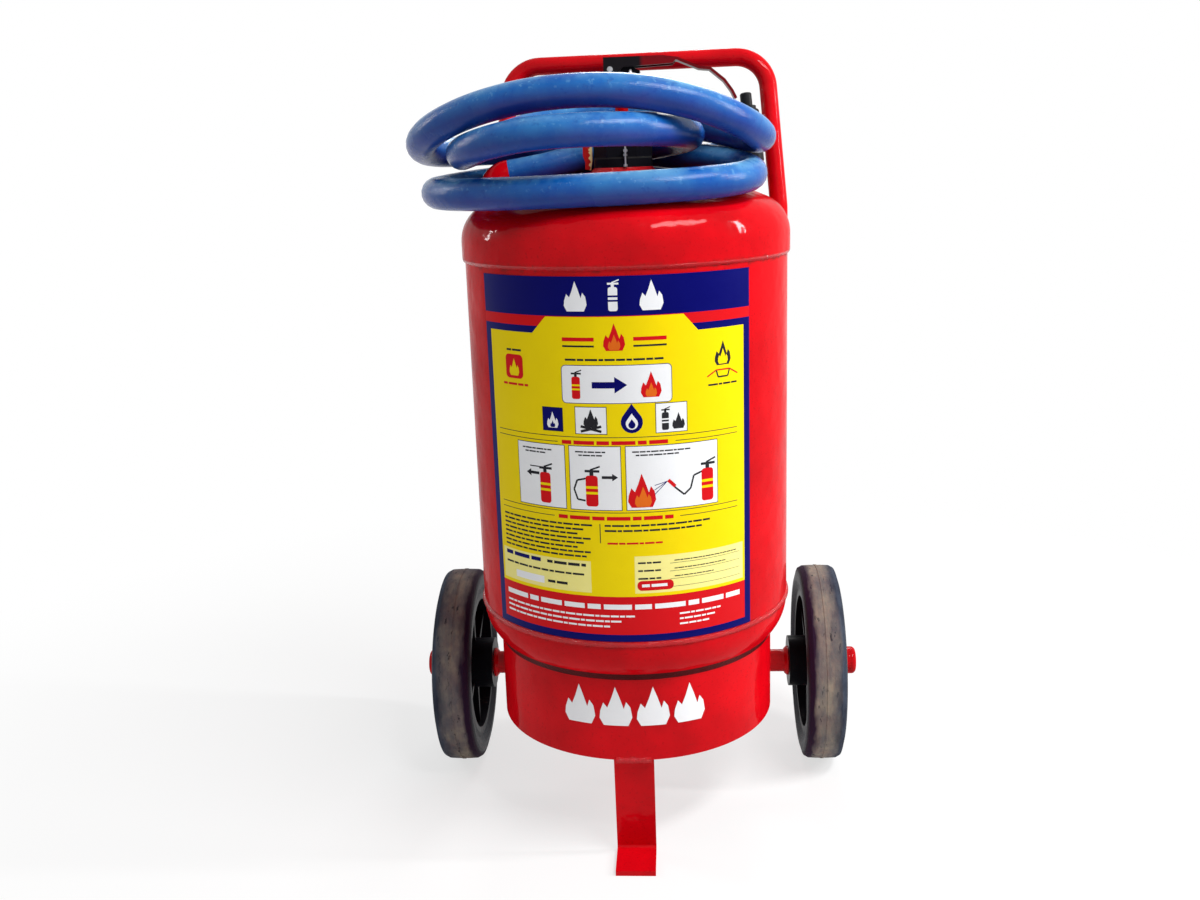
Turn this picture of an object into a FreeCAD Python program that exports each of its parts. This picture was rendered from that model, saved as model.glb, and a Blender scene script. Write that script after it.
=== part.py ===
"""Wheeled fire extinguisher: a 25 kg class dry powder unit on two wheels.

Millimetres, +Z up, front of the unit towards -Y, axle along X.
The pieces are drawn with the axis of the vessel on X = Y = 0. At the end all of them move
forward together, so that the origin lies on the floor in the middle of the footprint.
"""
import FreeCAD
import Part
import math
import os

V = FreeCAD.Vector

# Vessel
body_r = 150.0            # outer radius of the rolled cylinder
wall = 2.5                # steel of cylinder and heads
crown_r = 330.0           # crown radius of both heads
top_tangent_z = 571.0     # where the top head starts to curve
top_lap = 15.0            # skirt of the top head, lapped over the cylinder
top_knuckle_r = 36.0
bottom_tangent_z = 221.0  # where the bottom head starts to curve
bottom_straight = 3.0     # short straight edge of the bottom head
bottom_knuckle_r = 45.0
bead_r = 3.5              # weld bead size
bead_spread = 0.8         # half height of a butt weld's bead over its size
powder_fall = 36.0        # level of the charge below the top head's rim
powder_gap = 0.3

# Label sheet
label_low_gap = 0.4       # above the lower bead
label_high_gap = 4.5      # below the upper bead
label_from_deg = -53.5    # seen from above, from the front towards the right
label_to_deg = 46.2
label_gap = 0.25           # air behind the sheet
label_t = 0.3

# Foot ring and foot
skirt_inset = 15.5        # the ring stands this far inside the body
skirt_wall = 3.0
skirt_bottom_z = 104.0
foot_w = 37.0
foot_t = 5.0
foot_lap = 20.0           # length that is welded inside the ring
foot_drop = 6.0           # straight length below the ring
foot_lean = 11.692        # the fold's inner corner lies this far behind the face
foot_toe = 40.0
foot_bend_r = 3.0

# Axle and wheels
axle_r = 12.0
axle_y = 90.0
wheel_r = 103.7
tyre_w = 40.2
tyre_gap = 22.4           # between the body and the inner side of the tyre
tyre_h = 27.7             # depth of rubber from tread to rim
tyre_ridge = 0.5
tyre_shoulder = 6.0
tyre_flank = 4.0
mould_line_half_w = 1.2
rim_w = 34.0
rim_t = 6.0
web_t = 7.0
rib_count = 6
rib_t = 5.0
boss_r = 27.0
boss_reach_in = 11.8      # beyond the inner side of the tyre
boss_reach_out = 1.3
bush_wall = 3.5
bush_run = 0.06           # radial running clearance on the axle
side_play = 0.2           # play between hub, washer, collar and cap
collar_r = 15.6
collar_len = 2.6
collar_rim = 1.6
collar_root_r = 13.2
washer_r = 20.0
washer_t = 1.6
washer_play = 0.3
cap_r = 14.5
cap_len = 17.1
cap_floor = 5.0

# Handle frame
tube_r = 8.5
tube_wall = 2.0
leg_inset = 10.0          # the legs stand this far inside the body's half width
leg_below = 68.0          # length of leg below the lap
leg_bend_above = 19.0     # bend above the top head's rim
leg_gap = 0.1             # between the tube and the lapped head
grip_inset = 13.7         # corners of the grip inside the legs
grip_y = 101.0
grip_above = 162.0        # grip above the top head's rim
grip_bend_r = 32.0
leg_bend_r = 60.0
frame_turn_deg = -6.3     # the frame is welded on slightly turned
pad_half_w = 6.0
pad_h = 14.0
pads_below = (56.0, 20.0) # lower edges below the lap

# Filling neck and operating head
neck_r = 27.0
neck_bore_r = 21.5
neck_rise = 9.933         # above the top of the dome
neck_depth = 20.0
gasket_t = 1.5
cap_hex_r = 27.0
cap_hex_h = 11.0
cap_spigot = 18.0
chamber_r = 16.0
chamber_h = 22.5
guide_r = 6.0
guide_h = 30.0            # from the chamber to the carrying grip
plunger_r = 3.0
plunger_run = 0.03
plunger_tip_gap = 2.9     # tip above the cartridge
plunger_tip_h = 4.0
block_x0 = -13.0
block_x1 = 17.5
block_half_w = 11.0
block_h = 18.3
block_front_h = 11.5
block_slope_x = 2.0
pivot_x = -9.0
pivot_h = 13.0            # above the carrying grip
pivot_r = 2.5
pivot_run = 0.05
spring_r = 5.0
spring_bore = 3.6
pocket_r = 5.4
pocket_floor = 5.0
spring_len = 8.6
collar_h = 2.4
lever_t = 2.5
lever_half_w = 13.9
lever_tip_half_w = 11.0
lever_rise = 10.6         # top of the lever above its pivot
lever_back = 2.0          # behind the block
lever_saddle_x = 60.0     # end of the wide part
lever_bend_x = (38.0, 52.0, 71.0, 81.0, 94.0, 101.0, 104.5)
lever_bend_fall = (0.0, 2.0, 10.2, 11.4, 22.0, 31.5, 38.5)
cheek_play = 0.4
cheek_nose_x = 47.0
cheek_nose_h = 2.0
cheek_eye = 5.5           # half width of the cheek round the pivot
cheek_eye_drop = 4.5
cheek_eye_run = 6.0
lever_flange = 9.0
lever_gap = 0.2
grip_plate_t = 3.0
grip_plate_half_w = 10.0
grip_bend_x = (44.0, 74.0, 82.0)
grip_bend_fall = (0.0, 12.0, 19.0)
lock_pin_r = 2.0
lock_pin_run = 0.05
lock_pin_x = 9.5
lock_pin_h = 8.0          # above the carrying grip
lock_pin_head = 6.0
lock_pin_tail = 7.0
lock_eye_r = 3.0
lock_eye_out = 8.5
lock_ring_drop = 0.3
lock_ring_r = 13.0
lock_ring_wire = 1.25
seal_ring_r = 18.2
seal_wire_r = 0.6
seal_tag_t = 1.2
valve_x = 3.3
valve_y = 28.6
valve_h = 5.5             # above the gasket
valve_r = 0.8
valve_collar_r = 1.8
valve_head = 4.5          # stem above the stub
valve_collar_t = 2.0
valve_len = 18.5
cartridge_r = 20.0
cartridge_len = 290.0
cartridge_neck_r = 9.0
cartridge_wall = 3.0
cartridge_mouth_r = 2.5
cartridge_seal = 0.8      # thin seal that the plunger pierces
cartridge_neck_h = 14.0
cartridge_drop = 9.5      # top below the neck's rim

# Outlet
outlet_inset = 24.0       # outlet axis inside the left side of the body
outlet_y = 30.0
boss_out_r = 15.5
boss_bore_r = 12.0
boss_above = 17.0         # foot of the boss above the top head's rim
boss_h = 24.5
elbow_r = 13.6
elbow_bore_r = 8.0
elbow_rise = 14.9         # axis of the outlet above the boss
elbow_spigot = 10.0
elbow_bend_r = 15.0
elbow_reach = 16.0
outlet_dir = (0.984, 0.095, 0.150)
tail_len = 20.0
siphon_wall = 2.0
siphon_below = 49.0       # end of the tube below the bottom head's rim
siphon_run = 90.0         # straight run above that end
siphon_low_x = -15.0
siphon_low_y = 4.0
siphon_turn = 141.0       # upper bend below the top head's rim
siphon_bend_r = 60.0

# Hose: outer and bore radius, then the stations of each loop.
# A station is the crossing of a quarter turn: x, y and height of the centre line.
hose_r = 13.75
hose_bore_r = 9.5
rear, right, front, left = "rear", "right", "front", "left"
stations = (
    (rear, 2.0, 43.5, 650.0),
    (right, 62.0, -38.0, 660.0),
    (front, -50.0, -149.0, 664.5),
    (left, -141.0, -48.0, 649.0),
    (rear, -40.0, 64.0, 681.0),
    (right, 122.0, -25.0, 659.0),
    (front, -22.0, -132.0, 697.5),
    (left, -183.0, -22.0, 655.0),
    (rear, -45.0, 80.0, 652.0),
    (right, 117.5, -45.0, 626.0),
    (front, -10.0, -137.5, 617.0),
    (left, -172.5, -19.0, 617.0),
    (rear, 12.0, 109.5, 632.5),
)
turn_way = {rear: (1, 0), right: (0, -1), front: (-1, 0), left: (0, 1)}

# Spray gun at the hose end
gun_at = (104.5, 58.5, 643.5)
gun_dir = (0.83, -0.52, 0.16)
gun_up = (0.145, 0.0, 0.989)
ferrule_r = 15.6
ferrule_back = 9.0
ferrule_wall = 4.0
gun_r = 11.0
gun_x = 19.0
gun_low = -14.0
gun_high = 36.0
nozzle_r = 5.5
nozzle_len = 16.0
nozzle_flange_r = 8.5
nozzle_flange_t = 3.0
nozzle_bore_r = 2.2
trigger_t = 3.0
trigger_half_w = 5.0
trigger_pin_r = 1.5
trigger_pin_x = 3.5
trigger_pin_z = 31.0
trigger_run = 0.05
ear_t = 3.0
ear_play = 0.3
ear_h = 9.0
ear_back = 4.0

# Places that follow from the sizes
lap_z = top_tangent_z - top_lap
skirt_r = body_r - skirt_inset
tyre_root_r = wheel_r - tyre_h
tyre_in_x = body_r + tyre_gap
boss_in_x = tyre_in_x - boss_reach_in
boss_out_x = tyre_in_x + tyre_w + boss_reach_out
cap_end_x = boss_out_x + 2 * side_play + washer_t + cap_len
leg_x = body_r - leg_inset
grip_x = leg_x - grip_inset
grip_z = top_tangent_z + grip_above
outlet_x = outlet_inset - body_r
boss_z0 = top_tangent_z + boss_above
boss_z1 = boss_z0 + boss_h
elbow_knee_z = boss_z1 + elbow_rise
dome_z = top_tangent_z + crown_r - math.sqrt((crown_r - top_knuckle_r) ** 2
                                             - (body_r + wall - top_knuckle_r) ** 2)
neck_top_z = dome_z + neck_rise
cap_z = neck_top_z + gasket_t
chamber_z = cap_z + cap_hex_h
chamber_top_z = chamber_z + chamber_h
guide_top_z = chamber_top_z + guide_h
pocket_z = guide_top_z + pocket_floor
pivot_z = guide_top_z + pivot_h
lock_pin_z = guide_top_z + lock_pin_h
lever_top_z = pivot_z + lever_rise
cartridge_top_z = neck_top_z - cartridge_drop
cartridge_shoulder_z = cartridge_top_z - cartridge_neck_h
plunger_tip_z = cartridge_top_z + plunger_tip_gap


# Shape helpers

def ring(r_out, r_in, z0, z1, x=0.0, y=0.0):
    outer = Part.makeCylinder(r_out, z1 - z0, V(x, y, z0))
    return outer.cut(Part.makeCylinder(r_in, z1 - z0 + 2, V(x, y, z0 - 1)))


def rod(r, start, end):
    axis = end - start
    return Part.makeCylinder(r, axis.Length, start, axis)


def arc(a, m, b):
    return Part.Arc(a, m, b).toShape()


def line(a, b):
    return Part.LineSegment(a, b).toShape()


def revolve(edges, centre=V(0, 0, 0), axis=V(0, 0, 1)):
    return Part.Face(Part.Wire(edges)).revolve(centre, axis, 360)


def prism_y(points, half_w):
    """Outline in the XZ plane, extruded to both sides along Y."""
    wire = Part.makePolygon([V(x, -half_w, z) for x, z in points + [points[0]]])
    return Part.Face(wire).extrude(V(0, 2 * half_w, 0))


def rounded_path(points, radii):
    """Straight runs through the points, joined by tangent arcs."""
    edges = []
    start = points[0]
    for i in range(1, len(points) - 1):
        corner = points[i]
        back = (points[i - 1] - corner).normalize()
        ahead = (points[i + 1] - corner).normalize()
        half = back.getAngle(ahead) / 2
        reach = radii[i - 1] / math.tan(half)
        a = corner + back * reach
        b = corner + ahead * reach
        bisector = (back + ahead).normalize()
        m = corner + bisector * (radii[i - 1] / math.sin(half) - radii[i - 1])
        edges.append(line(start, a))
        edges.append(arc(a, m, b))
        start = b
    edges.append(line(start, points[-1]))
    return Part.Wire(edges)


def sweep(wire, radius):
    """Round bar along a wire."""
    first = wire.OrderedEdges[0]
    start = first.valueAt(first.FirstParameter)
    way = first.tangentAt(first.FirstParameter)
    if first.Orientation == "Reversed":
        start = first.valueAt(first.LastParameter)
        way = first.tangentAt(first.LastParameter) * -1
    circle = Part.Wire(Part.makeCircle(radius, start, way))
    shell = Part.BRepOffsetAPI.MakePipeShell(wire)
    shell.add(circle)
    shell.build()
    shell.makeSolid()
    return shell.shape()


def mirror_x(shape):
    return shape.mirror(V(0, 0, 0), V(1, 0, 0))


# Vessel

def head_numbers(r_out, knuckle, tangent_z):
    angle = math.asin((r_out - knuckle) / (crown_r - knuckle))
    centre_z = tangent_z - (crown_r - knuckle) * math.cos(angle)
    return angle, centre_z


def head_curve(r_out, knuckle, tangent_z, inset, hole_r):
    """Crown and knuckle arcs from the hole to the rim, moved in by inset."""
    angle, centre_z = head_numbers(r_out, knuckle, tangent_z)
    crown = crown_r - inset
    small = knuckle - inset
    ring_r = r_out - knuckle
    begin = math.asin(hole_r / crown)
    mid = (begin + angle) / 2
    turn = (angle + math.pi / 2) / 2
    a = V(hole_r, 0, centre_z + crown * math.cos(begin))
    b = V(crown * math.sin(angle), 0, centre_z + crown * math.cos(angle))
    m = V(crown * math.sin(mid), 0, centre_z + crown * math.cos(mid))
    n = V(ring_r + small * math.sin(turn), 0, tangent_z + small * math.cos(turn))
    c = V(r_out - inset, 0, tangent_z)
    return [arc(a, m, b), arc(b, n, c)], a, c


def head_shell(r_out, knuckle, tangent_z, straight, hole_r):
    outer, a0, c0 = head_curve(r_out, knuckle, tangent_z, 0.0, hole_r)
    inner, a1, c1 = head_curve(r_out, knuckle, tangent_z, wall, hole_r)
    low = V(0, 0, -straight)
    edges = outer + [line(c0, c0 + low), line(c0 + low, c1 + low), line(c1 + low, c1)]
    return revolve(edges + inner[::-1] + [line(a1, a0)])


def head_fill(r_out, knuckle, tangent_z, straight, inset):
    """Closed solid bounded by the head, moved in by inset."""
    curve, a, c = head_curve(r_out, knuckle, tangent_z, inset, 0.0)
    low = V(0, 0, -straight)
    floor = V(0, 0, c.z - straight)
    return revolve(curve + [line(c, c + low), line(c + low, floor), line(floor, a)])


def upside_down(shape, z):
    return shape.mirror(V(0, 0, z), V(0, 0, 1))


def body_fill():
    """Everything inside the outer surface of the vessel."""
    mid = bottom_tangent_z + bottom_straight
    top = head_fill(body_r + wall, top_knuckle_r, top_tangent_z, top_lap, 0.0)
    low = upside_down(head_fill(body_r, bottom_knuckle_r, bottom_tangent_z, bottom_straight, 0.0),
                      bottom_tangent_z)
    drum = Part.makeCylinder(body_r, top_tangent_z - mid, V(0, 0, mid))
    return drum.fuse([top, low])


def vessel_cylinder():
    base = bottom_tangent_z + bottom_straight
    return ring(body_r, body_r - wall, base, top_tangent_z - 1.0)


def top_head():
    shell = head_shell(body_r + wall, top_knuckle_r, top_tangent_z, top_lap, neck_r)
    hole = Part.makeCylinder(boss_out_r, 2 * crown_r, V(outlet_x, outlet_y, top_tangent_z))
    return shell.cut(hole)


def bottom_head():
    shell = head_shell(body_r, bottom_knuckle_r, bottom_tangent_z, bottom_straight, 0.0)
    return upside_down(shell, bottom_tangent_z)


def top_seam():
    z = lap_z
    a = V(body_r, 0, z)
    b = V(body_r + wall, 0, z)
    c = V(body_r, 0, z - bead_r)
    m = V(body_r + wall * 0.72, 0, z - bead_r * 0.6)
    return revolve([line(a, b), arc(b, m, c), line(c, a)])


def bottom_seam():
    z = bottom_tangent_z + bottom_straight
    a = V(body_r, 0, z + bead_r * bead_spread)
    b = V(body_r, 0, z - bead_r * bead_spread)
    m = V(body_r + bead_r * 0.55, 0, z)
    return revolve([arc(a, m, b), line(b, a)])


def powder_charge():
    """Powder up to its level, free of the tube and the cartridge."""
    base = bottom_tangent_z + bottom_straight
    level = top_tangent_z - powder_fall
    low = upside_down(head_fill(body_r, bottom_knuckle_r, bottom_tangent_z, bottom_straight,
                                wall + powder_gap), bottom_tangent_z)
    drum = Part.makeCylinder(body_r - wall - powder_gap, level - base, V(0, 0, base))
    filled = drum.fuse(low).removeSplitter()
    tube = sweep(siphon_path(), boss_bore_r + powder_gap)
    shaft = Part.makeCylinder(cartridge_r + powder_gap, cartridge_len + cartridge_shoulder_z,
                              V(0, 0, cartridge_shoulder_z - cartridge_len - powder_gap))
    return filled.cut(tube).cut(shaft)


def label_sheet():
    back_r = body_r + label_gap
    low = bottom_tangent_z + bottom_straight + bead_r * bead_spread + label_low_gap
    high = lap_z - bead_r - label_high_gap
    sheet = ring(back_r + label_t, back_r, low, high)
    span = label_to_deg - label_from_deg
    size = 2 * body_r
    wedge_a = V(0, 0, low - 1)
    p0 = rim_point(size, label_from_deg)
    p1 = rim_point(size, label_from_deg + span / 2)
    p2 = rim_point(size, label_to_deg)
    wire = Part.makePolygon([wedge_a, wedge_a + p0, wedge_a + p1, wedge_a + p2, wedge_a])
    wedge = Part.Face(wire).extrude(V(0, 0, high - low + 2))
    return sheet.common(wedge)


def rim_point(r, deg):
    return V(r * math.sin(math.radians(deg)), -r * math.cos(math.radians(deg)), 0)


# Foot ring and foot

def axle_bar():
    return Part.makeCylinder(axle_r, 2 * (cap_end_x - cap_floor),
                             V(-(cap_end_x - cap_floor), axle_y, wheel_r), V(1, 0, 0))


def foot_ring(body):
    tall = ring(skirt_r, skirt_r - skirt_wall, skirt_bottom_z, bottom_tangent_z)
    parts = tall.cut(body).cut(axle_bar()).Solids
    return max(parts, key=lambda s: s.Volume)


def ring_touch_z(r):
    """Height of the bottom head's outer surface above radius r."""
    return bottom_tangent_z - math.sqrt(bottom_knuckle_r ** 2 - (r - body_r + bottom_knuckle_r) ** 2)


def foot_ring_seam(body):
    z = ring_touch_z(skirt_r)
    out = skirt_r + bead_r
    a = V(skirt_r, 0, z - bead_r)
    b = V(out, 0, ring_touch_z(out))
    c = V(skirt_r, 0, z + bead_r)
    return revolve([line(a, b), line(b, c), line(c, a)]).cut(body)


def foot_face_y():
    inner = skirt_r - skirt_wall
    return -math.sqrt(inner ** 2 - (foot_w / 2) ** 2)


def foot_tip_y():
    return foot_face_y() + foot_lean - foot_toe


def foot_strip():
    y = foot_face_y()
    bend_z = skirt_bottom_z - foot_drop
    top_z = skirt_bottom_z + foot_lap
    fold_y = y + foot_lean
    shift = foot_t * (1 - foot_lean / (bend_z - foot_t))
    front = [(y, top_z), (y, bend_z), (fold_y, foot_t), (foot_tip_y(), foot_t)]
    rear_side = [(foot_tip_y(), 0), (fold_y + shift, 0), (y + foot_t, bend_z),
                 (y + foot_t, top_z)]
    pts = [V(-foot_w / 2, p[0], p[1]) for p in front + rear_side]
    strip = Part.Face(Part.makePolygon(pts + [pts[0]])).extrude(V(foot_w, 0, 0))
    inner = [e for e in strip.Edges if along_x(e, fold_y, foot_t)]
    strip = strip.makeFillet(foot_bend_r, inner)
    outer = [e for e in strip.Edges if along_x(e, fold_y + shift, 0)]
    return strip.makeFillet(foot_bend_r + foot_t * 0.8, outer)


def along_x(edge, y, z):
    if len(edge.Vertexes) != 2:
        return False
    a, b = edge.Vertexes[0].Point, edge.Vertexes[1].Point
    level = abs(a.y - y) + abs(b.y - y) + abs(a.z - z) + abs(b.z - z)
    return level < 0.01 and abs(a.x - b.x) > 1


def foot_seam(ring_solid, strip):
    y = foot_face_y()
    half = foot_w / 2 - 2
    bead = rod(bead_r, V(-half, y - 2.0, skirt_bottom_z - 0.5), V(half, y - 2.0, skirt_bottom_z - 0.5))
    rest = bead.cut(ring_solid).cut(strip)
    return max(rest.Solids, key=lambda s: s.Volume)


# Axle and wheels, drawn for the right side and mirrored for the left

def turned(outline):
    """Body of revolution about the axle, outline as (x, r) points."""
    pts = [V(x, axle_y, wheel_r + r) for x, r in outline]
    face = Part.Face(Part.makePolygon(pts + [pts[0]]))
    return face.revolve(V(0, axle_y, wheel_r), V(1, 0, 0), 360)


def axle_collar():
    end = boss_in_x - side_play
    start = end - collar_rim - collar_len
    return turned([(start, axle_r), (start, collar_root_r), (end - collar_rim, collar_r),
                   (end, collar_r), (end, axle_r)])


def tyre():
    x0 = tyre_in_x
    x1 = tyre_in_x + tyre_w
    mid = (x0 + x1) / 2
    low = wheel_r - tyre_ridge
    shoulder = tyre_shoulder
    line_w = mould_line_half_w
    bead_x = (tyre_w - rim_w) / 2
    left_side = [(x0 + bead_x, tyre_root_r), (x0 + tyre_flank, tyre_root_r + tyre_h * 0.18),
                 (x0, tyre_root_r + tyre_h * 0.43), (x0, wheel_r - shoulder * 1.67),
                 (x0 + shoulder * 0.35, wheel_r - shoulder * 0.5),
                 (x0 + shoulder, low - tyre_ridge * 0.8)]
    tread = [(mid - 5 * line_w, low), (mid - line_w, low), (mid - line_w, wheel_r),
             (mid + line_w, wheel_r), (mid + line_w, low), (mid + 5 * line_w, low)]
    right_side = [(x0 + x1 - x, r) for x, r in reversed(left_side)]
    return turned(left_side + tread + right_side)


def hub():
    x0 = tyre_in_x + (tyre_w - rim_w) / 2
    x1 = x0 + rim_w
    mid = (x0 + x1) / 2
    rim_in = tyre_root_r - rim_t
    bore = axle_r + bush_run + bush_wall
    web0 = mid - web_t / 2
    web1 = mid + web_t / 2
    body = turned([(boss_in_x, bore), (boss_in_x, boss_r), (web0, boss_r), (web0, rim_in),
                   (x0, rim_in), (x0, tyre_root_r), (x1, tyre_root_r), (x1, rim_in),
                   (web1, rim_in), (web1, boss_r), (boss_out_x, boss_r), (boss_out_x, bore)])
    rib_h = rim_in - boss_r + 2
    rib = Part.makeBox(rim_w * 0.66, rib_t, rib_h,
                       V(mid - rim_w * 0.33, axle_y - rib_t / 2, wheel_r + boss_r - 1))
    ribs = []
    for i in range(rib_count):
        one = rib.copy()
        one.rotate(V(0, axle_y, wheel_r), V(1, 0, 0), 360.0 * i / rib_count)
        ribs.append(one)
    return body.fuse(ribs).removeSplitter()


def bush():
    bore = axle_r + bush_run
    return turned([(boss_in_x, bore), (boss_in_x, bore + bush_wall),
                   (boss_out_x, bore + bush_wall), (boss_out_x, bore)])


def axle_washer():
    x0 = boss_out_x + side_play
    return turned([(x0, axle_r + washer_play), (x0, washer_r),
                   (x0 + washer_t, washer_r), (x0 + washer_t, axle_r + washer_play)])


def axle_cap():
    x0 = boss_out_x + 2 * side_play + washer_t
    deep = cap_end_x - cap_floor
    cup = turned([(x0, axle_r), (x0, cap_r), (cap_end_x, cap_r), (cap_end_x, 0), (deep, 0),
                  (deep, axle_r)])
    rim_edges = [e for e in cup.Edges if abs(e.BoundBox.XMin - cap_end_x) < 0.01
                 and abs(e.BoundBox.XMax - cap_end_x) < 0.01 and e.Length > cap_r * 3]
    return cup.makeFillet(cap_floor - 0.5, rim_edges[:1])


def both(shape):
    return Part.Compound([shape, mirror_x(shape)])


# Handle frame

def leg_y():
    reach = body_r + wall + tube_r + leg_gap
    return math.sqrt(reach ** 2 - leg_x ** 2)


def frame_path():
    y = leg_y()
    foot_z = lap_z - leg_below
    bend_z = top_tangent_z + leg_bend_above
    pts = [V(-leg_x, y, foot_z), V(-leg_x, y, bend_z), V(-grip_x, grip_y, grip_z),
           V(grip_x, grip_y, grip_z), V(leg_x, y, bend_z), V(leg_x, y, foot_z)]
    return rounded_path(pts, [leg_bend_r, grip_bend_r, grip_bend_r, leg_bend_r])


def turn_frame(shape):
    shape.rotate(V(0, 0, 0), V(0, 0, 1), frame_turn_deg)
    return shape


def handle_frame():
    path = frame_path()
    return turn_frame(sweep(path, tube_r).cut(sweep(path, tube_r - tube_wall)))


def frame_pads(body):
    solid_tube = turn_frame(sweep(frame_path(), tube_r))
    azimuth = math.degrees(math.atan2(leg_y(), leg_x))
    pads = []
    for side in (0, 1):
        for below in pads_below:
            pad = Part.makeBox(tube_r + wall, 2 * pad_half_w, pad_h,
                               V(body_r - 1, -pad_half_w, lap_z - below))
            turn = azimuth if side == 0 else 180 - azimuth
            pad.rotate(V(0, 0, 0), V(0, 0, 1), turn + frame_turn_deg)
            rest = pad.cut(body).cut(solid_tube)
            pads.append(max(rest.Solids, key=lambda s: s.Volume))
    return Part.Compound(pads)


# Neck and operating head

def neck_ring():
    return ring(neck_r, neck_bore_r, neck_top_z - neck_depth, neck_top_z)


def neck_seam():
    a = V(neck_r, 0, crown_z(neck_r))
    m = V(neck_r + bead_r / 2, 0, crown_z(neck_r + bead_r / 2))
    b = V(neck_r + bead_r, 0, crown_z(neck_r + bead_r))
    c = V(neck_r, 0, crown_z(neck_r) + bead_r)
    return revolve([arc(a, m, b), line(b, c), line(c, a)])


def crown_z(r):
    """Height of the top head's outer surface above radius r."""
    return dome_z - crown_r + math.sqrt(crown_r ** 2 - r ** 2)


def neck_gasket():
    return ring(neck_r - 0.5, neck_bore_r, neck_top_z, neck_top_z + gasket_t)


def head_cap():
    z0 = cap_z
    corners = [V(cap_hex_r * math.cos(math.radians(60 * i)),
                 cap_hex_r * math.sin(math.radians(60 * i)), z0) for i in range(7)]
    hexa = Part.Face(Part.makePolygon(corners)).extrude(V(0, 0, cap_hex_h))
    spigot = Part.makeCylinder(neck_bore_r, cap_spigot + gasket_t, V(0, 0, z0 - cap_spigot - gasket_t))
    body = hexa.fuse(spigot).removeSplitter()
    seat = Part.makeCylinder(cartridge_neck_r, 30, V(0, 0, cartridge_top_z - 30))
    body = body.cut(seat)
    return body.cut(Part.makeCylinder(plunger_r + 1.0, 60, V(0, 0, cartridge_top_z - 1)))


def piercing_chamber():
    body = Part.makeCylinder(chamber_r, chamber_top_z - chamber_z, V(0, 0, chamber_z))
    shoulder = [e for e in body.Edges if abs(e.BoundBox.ZMin - chamber_top_z) < 0.01]
    body = body.makeChamfer(4.0, shoulder[:1])
    return body.cut(Part.makeCylinder(plunger_r + 1.0, 80, V(0, 0, chamber_z - 10)))


def guide_tube():
    return ring(guide_r, plunger_r + plunger_run, chamber_top_z, pocket_z)


def pivot_block():
    z0 = guide_top_z
    top = z0 + block_h
    block = prism_y([(block_x0, z0), (block_x0, top), (block_slope_x, top),
                     (block_x1, z0 + block_front_h), (block_x1, z0)], block_half_w)
    block = block.cut(Part.makeCylinder(guide_r, pocket_z - z0, V(0, 0, z0)))
    block = block.cut(Part.makeCylinder(pocket_r, 30, V(0, 0, pocket_z)))
    pin = rod(pivot_r, V(pivot_x, -30, pivot_z), V(pivot_x, 30, pivot_z))
    lock = rod(lock_pin_r + lock_pin_run, V(lock_pin_x, -30, lock_pin_z),
               V(lock_pin_x, 30, lock_pin_z))
    return block.cut(pin).cut(lock)


def plunger():
    top = lever_top_z - lever_t - lever_gap
    base = plunger_tip_z + plunger_tip_h
    stem = Part.makeCylinder(plunger_r, top - base, V(0, 0, base))
    tip = Part.makeCone(plunger_r / 5, plunger_r, plunger_tip_h, V(0, 0, plunger_tip_z))
    flange = Part.makeCylinder(spring_r, collar_h, V(0, 0, pocket_z + spring_len))
    return stem.fuse([tip, flange]).removeSplitter()


def return_spring():
    return ring(spring_r, spring_bore, pocket_z, pocket_z + spring_len)


def lever_pin():
    half = lever_half_w + lever_t
    return rod(pivot_r, V(pivot_x, -half, pivot_z), V(pivot_x, half, pivot_z))


def bent_line(start_x, z, bend_x, bend_fall):
    """Upper edge of a bent strip, from its level back end."""
    return [(start_x, z)] + [(x, z - fall) for x, fall in zip(bend_x, bend_fall)]


def offset_below(points, t):
    """The same polyline moved to its lower side by t."""
    low = []
    for i, (x, z) in enumerate(points):
        a = points[max(i - 1, 0)]
        b = points[min(i + 1, len(points) - 1)]
        length = math.hypot(b[0] - a[0], b[1] - a[1])
        low.append((x + (b[1] - a[1]) / length * t, z - (b[0] - a[0]) / length * t))
    return low


def operating_lever():
    back_x = block_x0 - lever_back
    top = bent_line(back_x, lever_top_z, lever_bend_x, lever_bend_fall)
    strip = prism_y(top + offset_below(top, lever_t)[::-1], lever_tip_half_w)
    saddle_top = [p for p in top if p[0] < lever_saddle_x]
    saddle = prism_y(saddle_top + offset_below(saddle_top, lever_t)[::-1], lever_half_w)
    z_low = lever_top_z - lever_flange
    eye_z = pivot_z - cheek_eye_drop
    cheek_line = saddle_top + [(cheek_nose_x, z_low + cheek_nose_h),
                               (pivot_x + cheek_eye + cheek_eye_run, z_low),
                               (pivot_x + cheek_eye, eye_z), (pivot_x - cheek_eye, eye_z),
                               (back_x, z_low)]
    thick = lever_half_w - block_half_w - cheek_play
    solids = [saddle]
    for side in (-1, 1):
        cheek = prism_y(cheek_line, thick / 2)
        cheek.translate(V(0, side * (lever_half_w - thick / 2), 0))
        solids.append(cheek)
    lever = strip.fuse(solids).removeSplitter()
    hole = rod(pivot_r + pivot_run, V(pivot_x, -30, pivot_z), V(pivot_x, 30, pivot_z))
    return lever.cut(hole)


def carry_grip():
    z = guide_top_z
    top = bent_line(block_x0, z, grip_bend_x, grip_bend_fall)
    plate = prism_y(top + offset_below(top, grip_plate_t)[::-1], grip_plate_half_w)
    return plate.cut(Part.makeCylinder(guide_r, 30, V(0, 0, z - 15)))


def safety_pin():
    half = block_half_w
    pin = rod(lock_pin_r, V(lock_pin_x, -half - lock_pin_head, lock_pin_z),
              V(lock_pin_x, half + lock_pin_tail, lock_pin_z))
    eye = Part.makeTorus(lock_eye_r, lock_ring_wire, V(lock_pin_x, -half - lock_eye_out, lock_pin_z),
                         V(1, 0, 0))
    return pin.fuse(eye)


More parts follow.
